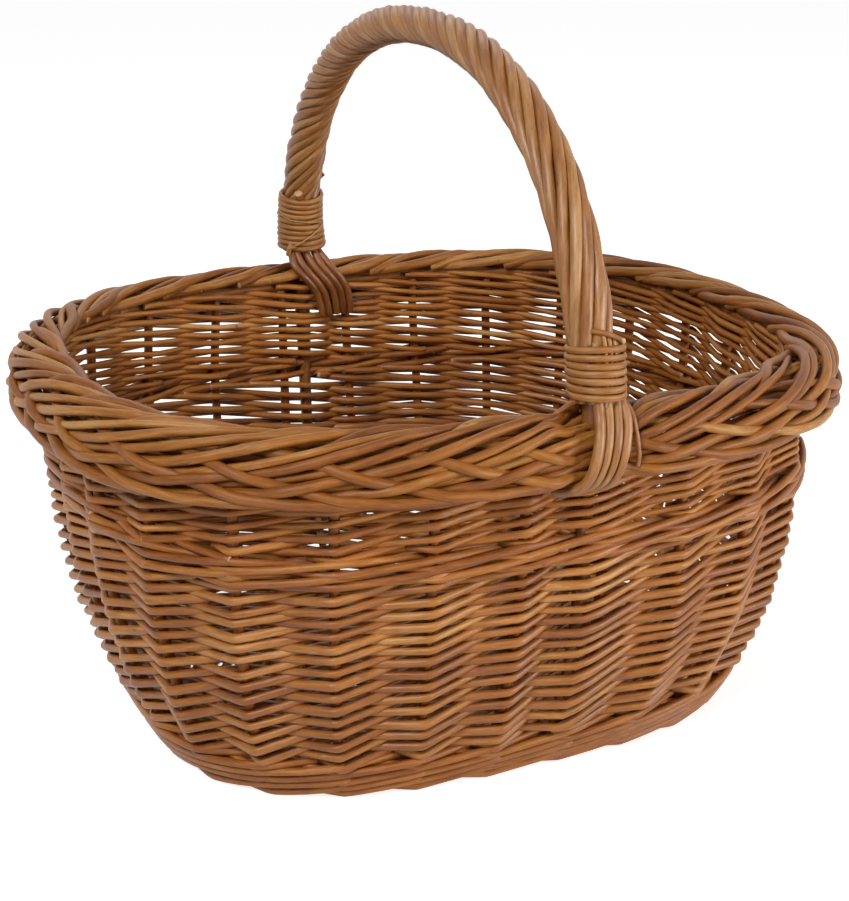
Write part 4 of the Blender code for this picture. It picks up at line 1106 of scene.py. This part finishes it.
STICK_FINISH = stick_finish()
for node_name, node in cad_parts.items():
    if node_name.startswith(("base_long", "base_cross")):
        for material_slot in node.material_slots:
            material_slot.material = STICK_FINISH

# The floor and the light round it
FLOOR_HALF = 6
FLOOR_GREY, FLOOR_GLOW = 0.62, 0.80
SOFT_LIGHT, WHITE_LIGHT = 0.22, 1.0
BLACK, WHITE = (0, 0, 0, 1), (1, 1, 1, 1)


def pale_floor():
    """A pale floor that stays white to the camera and keeps the basket's shadow."""
    mesh = bpy.data.meshes.new("floor")
    corners = [(x * FLOOR_HALF, y * FLOOR_HALF, 0) for x, y in ((-1, -1), (1, -1), (1, 1), (-1, 1))]
    mesh.from_pydata(corners, [], [(0, 1, 2, 3)])
    floor = placed("floor", mesh)
    finish = Finish("pale_floor")
    glow = finish.mix(finish.seen_straight(), BLACK, WHITE)
    mesh.materials.append(finish.surface({
        "Base Color": (FLOOR_GREY, FLOOR_GREY, FLOOR_GREY, 1),
        "Roughness": 0.9,
        "Specular IOR Level": 0.1,
        "Emission Color": glow,
        "Emission Strength": FLOOR_GLOW,
    }))


def studio():
    """Soft light from all round, and plain white where the camera looks past the floor."""
    world = bpy.data.worlds.new("studio")
    bpy.context.scene.world = world
    world.use_nodes = True
    world.node_tree.nodes.clear()
    nodes = Nodes(world.node_tree)
    soft = nodes.add("Background", None, {"Color": WHITE, "Strength": SOFT_LIGHT})
    bright = nodes.add("Background", None, {"Color": WHITE, "Strength": WHITE_LIGHT})
    both = nodes.add("MixShader", None, (nodes.seen_straight(), soft, bright))
    nodes.add("OutputWorld", None, {"Surface": both})


def lamp(name, place, aim, size, power):
    """A round soft lamp of this size and power, turned to the point it is aimed at."""
    light = bpy.data.lights.new(name, "AREA")
    light.shape = "DISK"
    light.size = size
    light.energy = power
    made = placed(name, light)
    made.location = place
    made.rotation_euler = (Vector(aim) - Vector(place)).to_track_quat("-Z", "Y").to_euler()


pale_floor()
studio()
lamp("key", (-1.3, -1.15, 1.6), (0, 0, 0.15), 0.7, 33)
lamp("fill", (1.35, -1.6, 0.36), (0, 0, 0.15), 0.9, 32)
lamp("rim", (0.2, 1.5, 1.8), (0, 0, 0.2), 1.2, 6)

# Where the photograph's camera stands and looks, and its lens in pixels of the photograph
AIM = Vector((0, 0, 0.15))
DISTANCE = 1.0758
AZIMUTH, ELEVATION = math.radians(-23.92), math.radians(17.86)
FRAME_HEIGHT = 901
SENSOR_WIDTH = 36
FOCAL_PIXELS = 1900.2
SHIFT_PIXELS = (-1.87, -17.97)


def camera():
    """The photograph's camera."""
    data = bpy.data.cameras.new("camera")
    data.sensor_width = SENSOR_WIDTH
    data.lens = FOCAL_PIXELS / FRAME_HEIGHT * data.sensor_width
    data.shift_x = -SHIFT_PIXELS[0] / FRAME_HEIGHT
    data.shift_y = SHIFT_PIXELS[1] / FRAME_HEIGHT
    made = placed("camera", data)
    flat = math.cos(ELEVATION)
    back = Vector((math.sin(AZIMUTH) * flat, -math.cos(AZIMUTH) * flat, math.sin(ELEVATION)))
    made.location = AIM + back * DISTANCE
    made.rotation_euler = (-back).to_track_quat("-Z", "Y").to_euler()
    bpy.context.scene.camera = made


camera()
bpy.context.scene.view_settings.view_transform = "Standard"
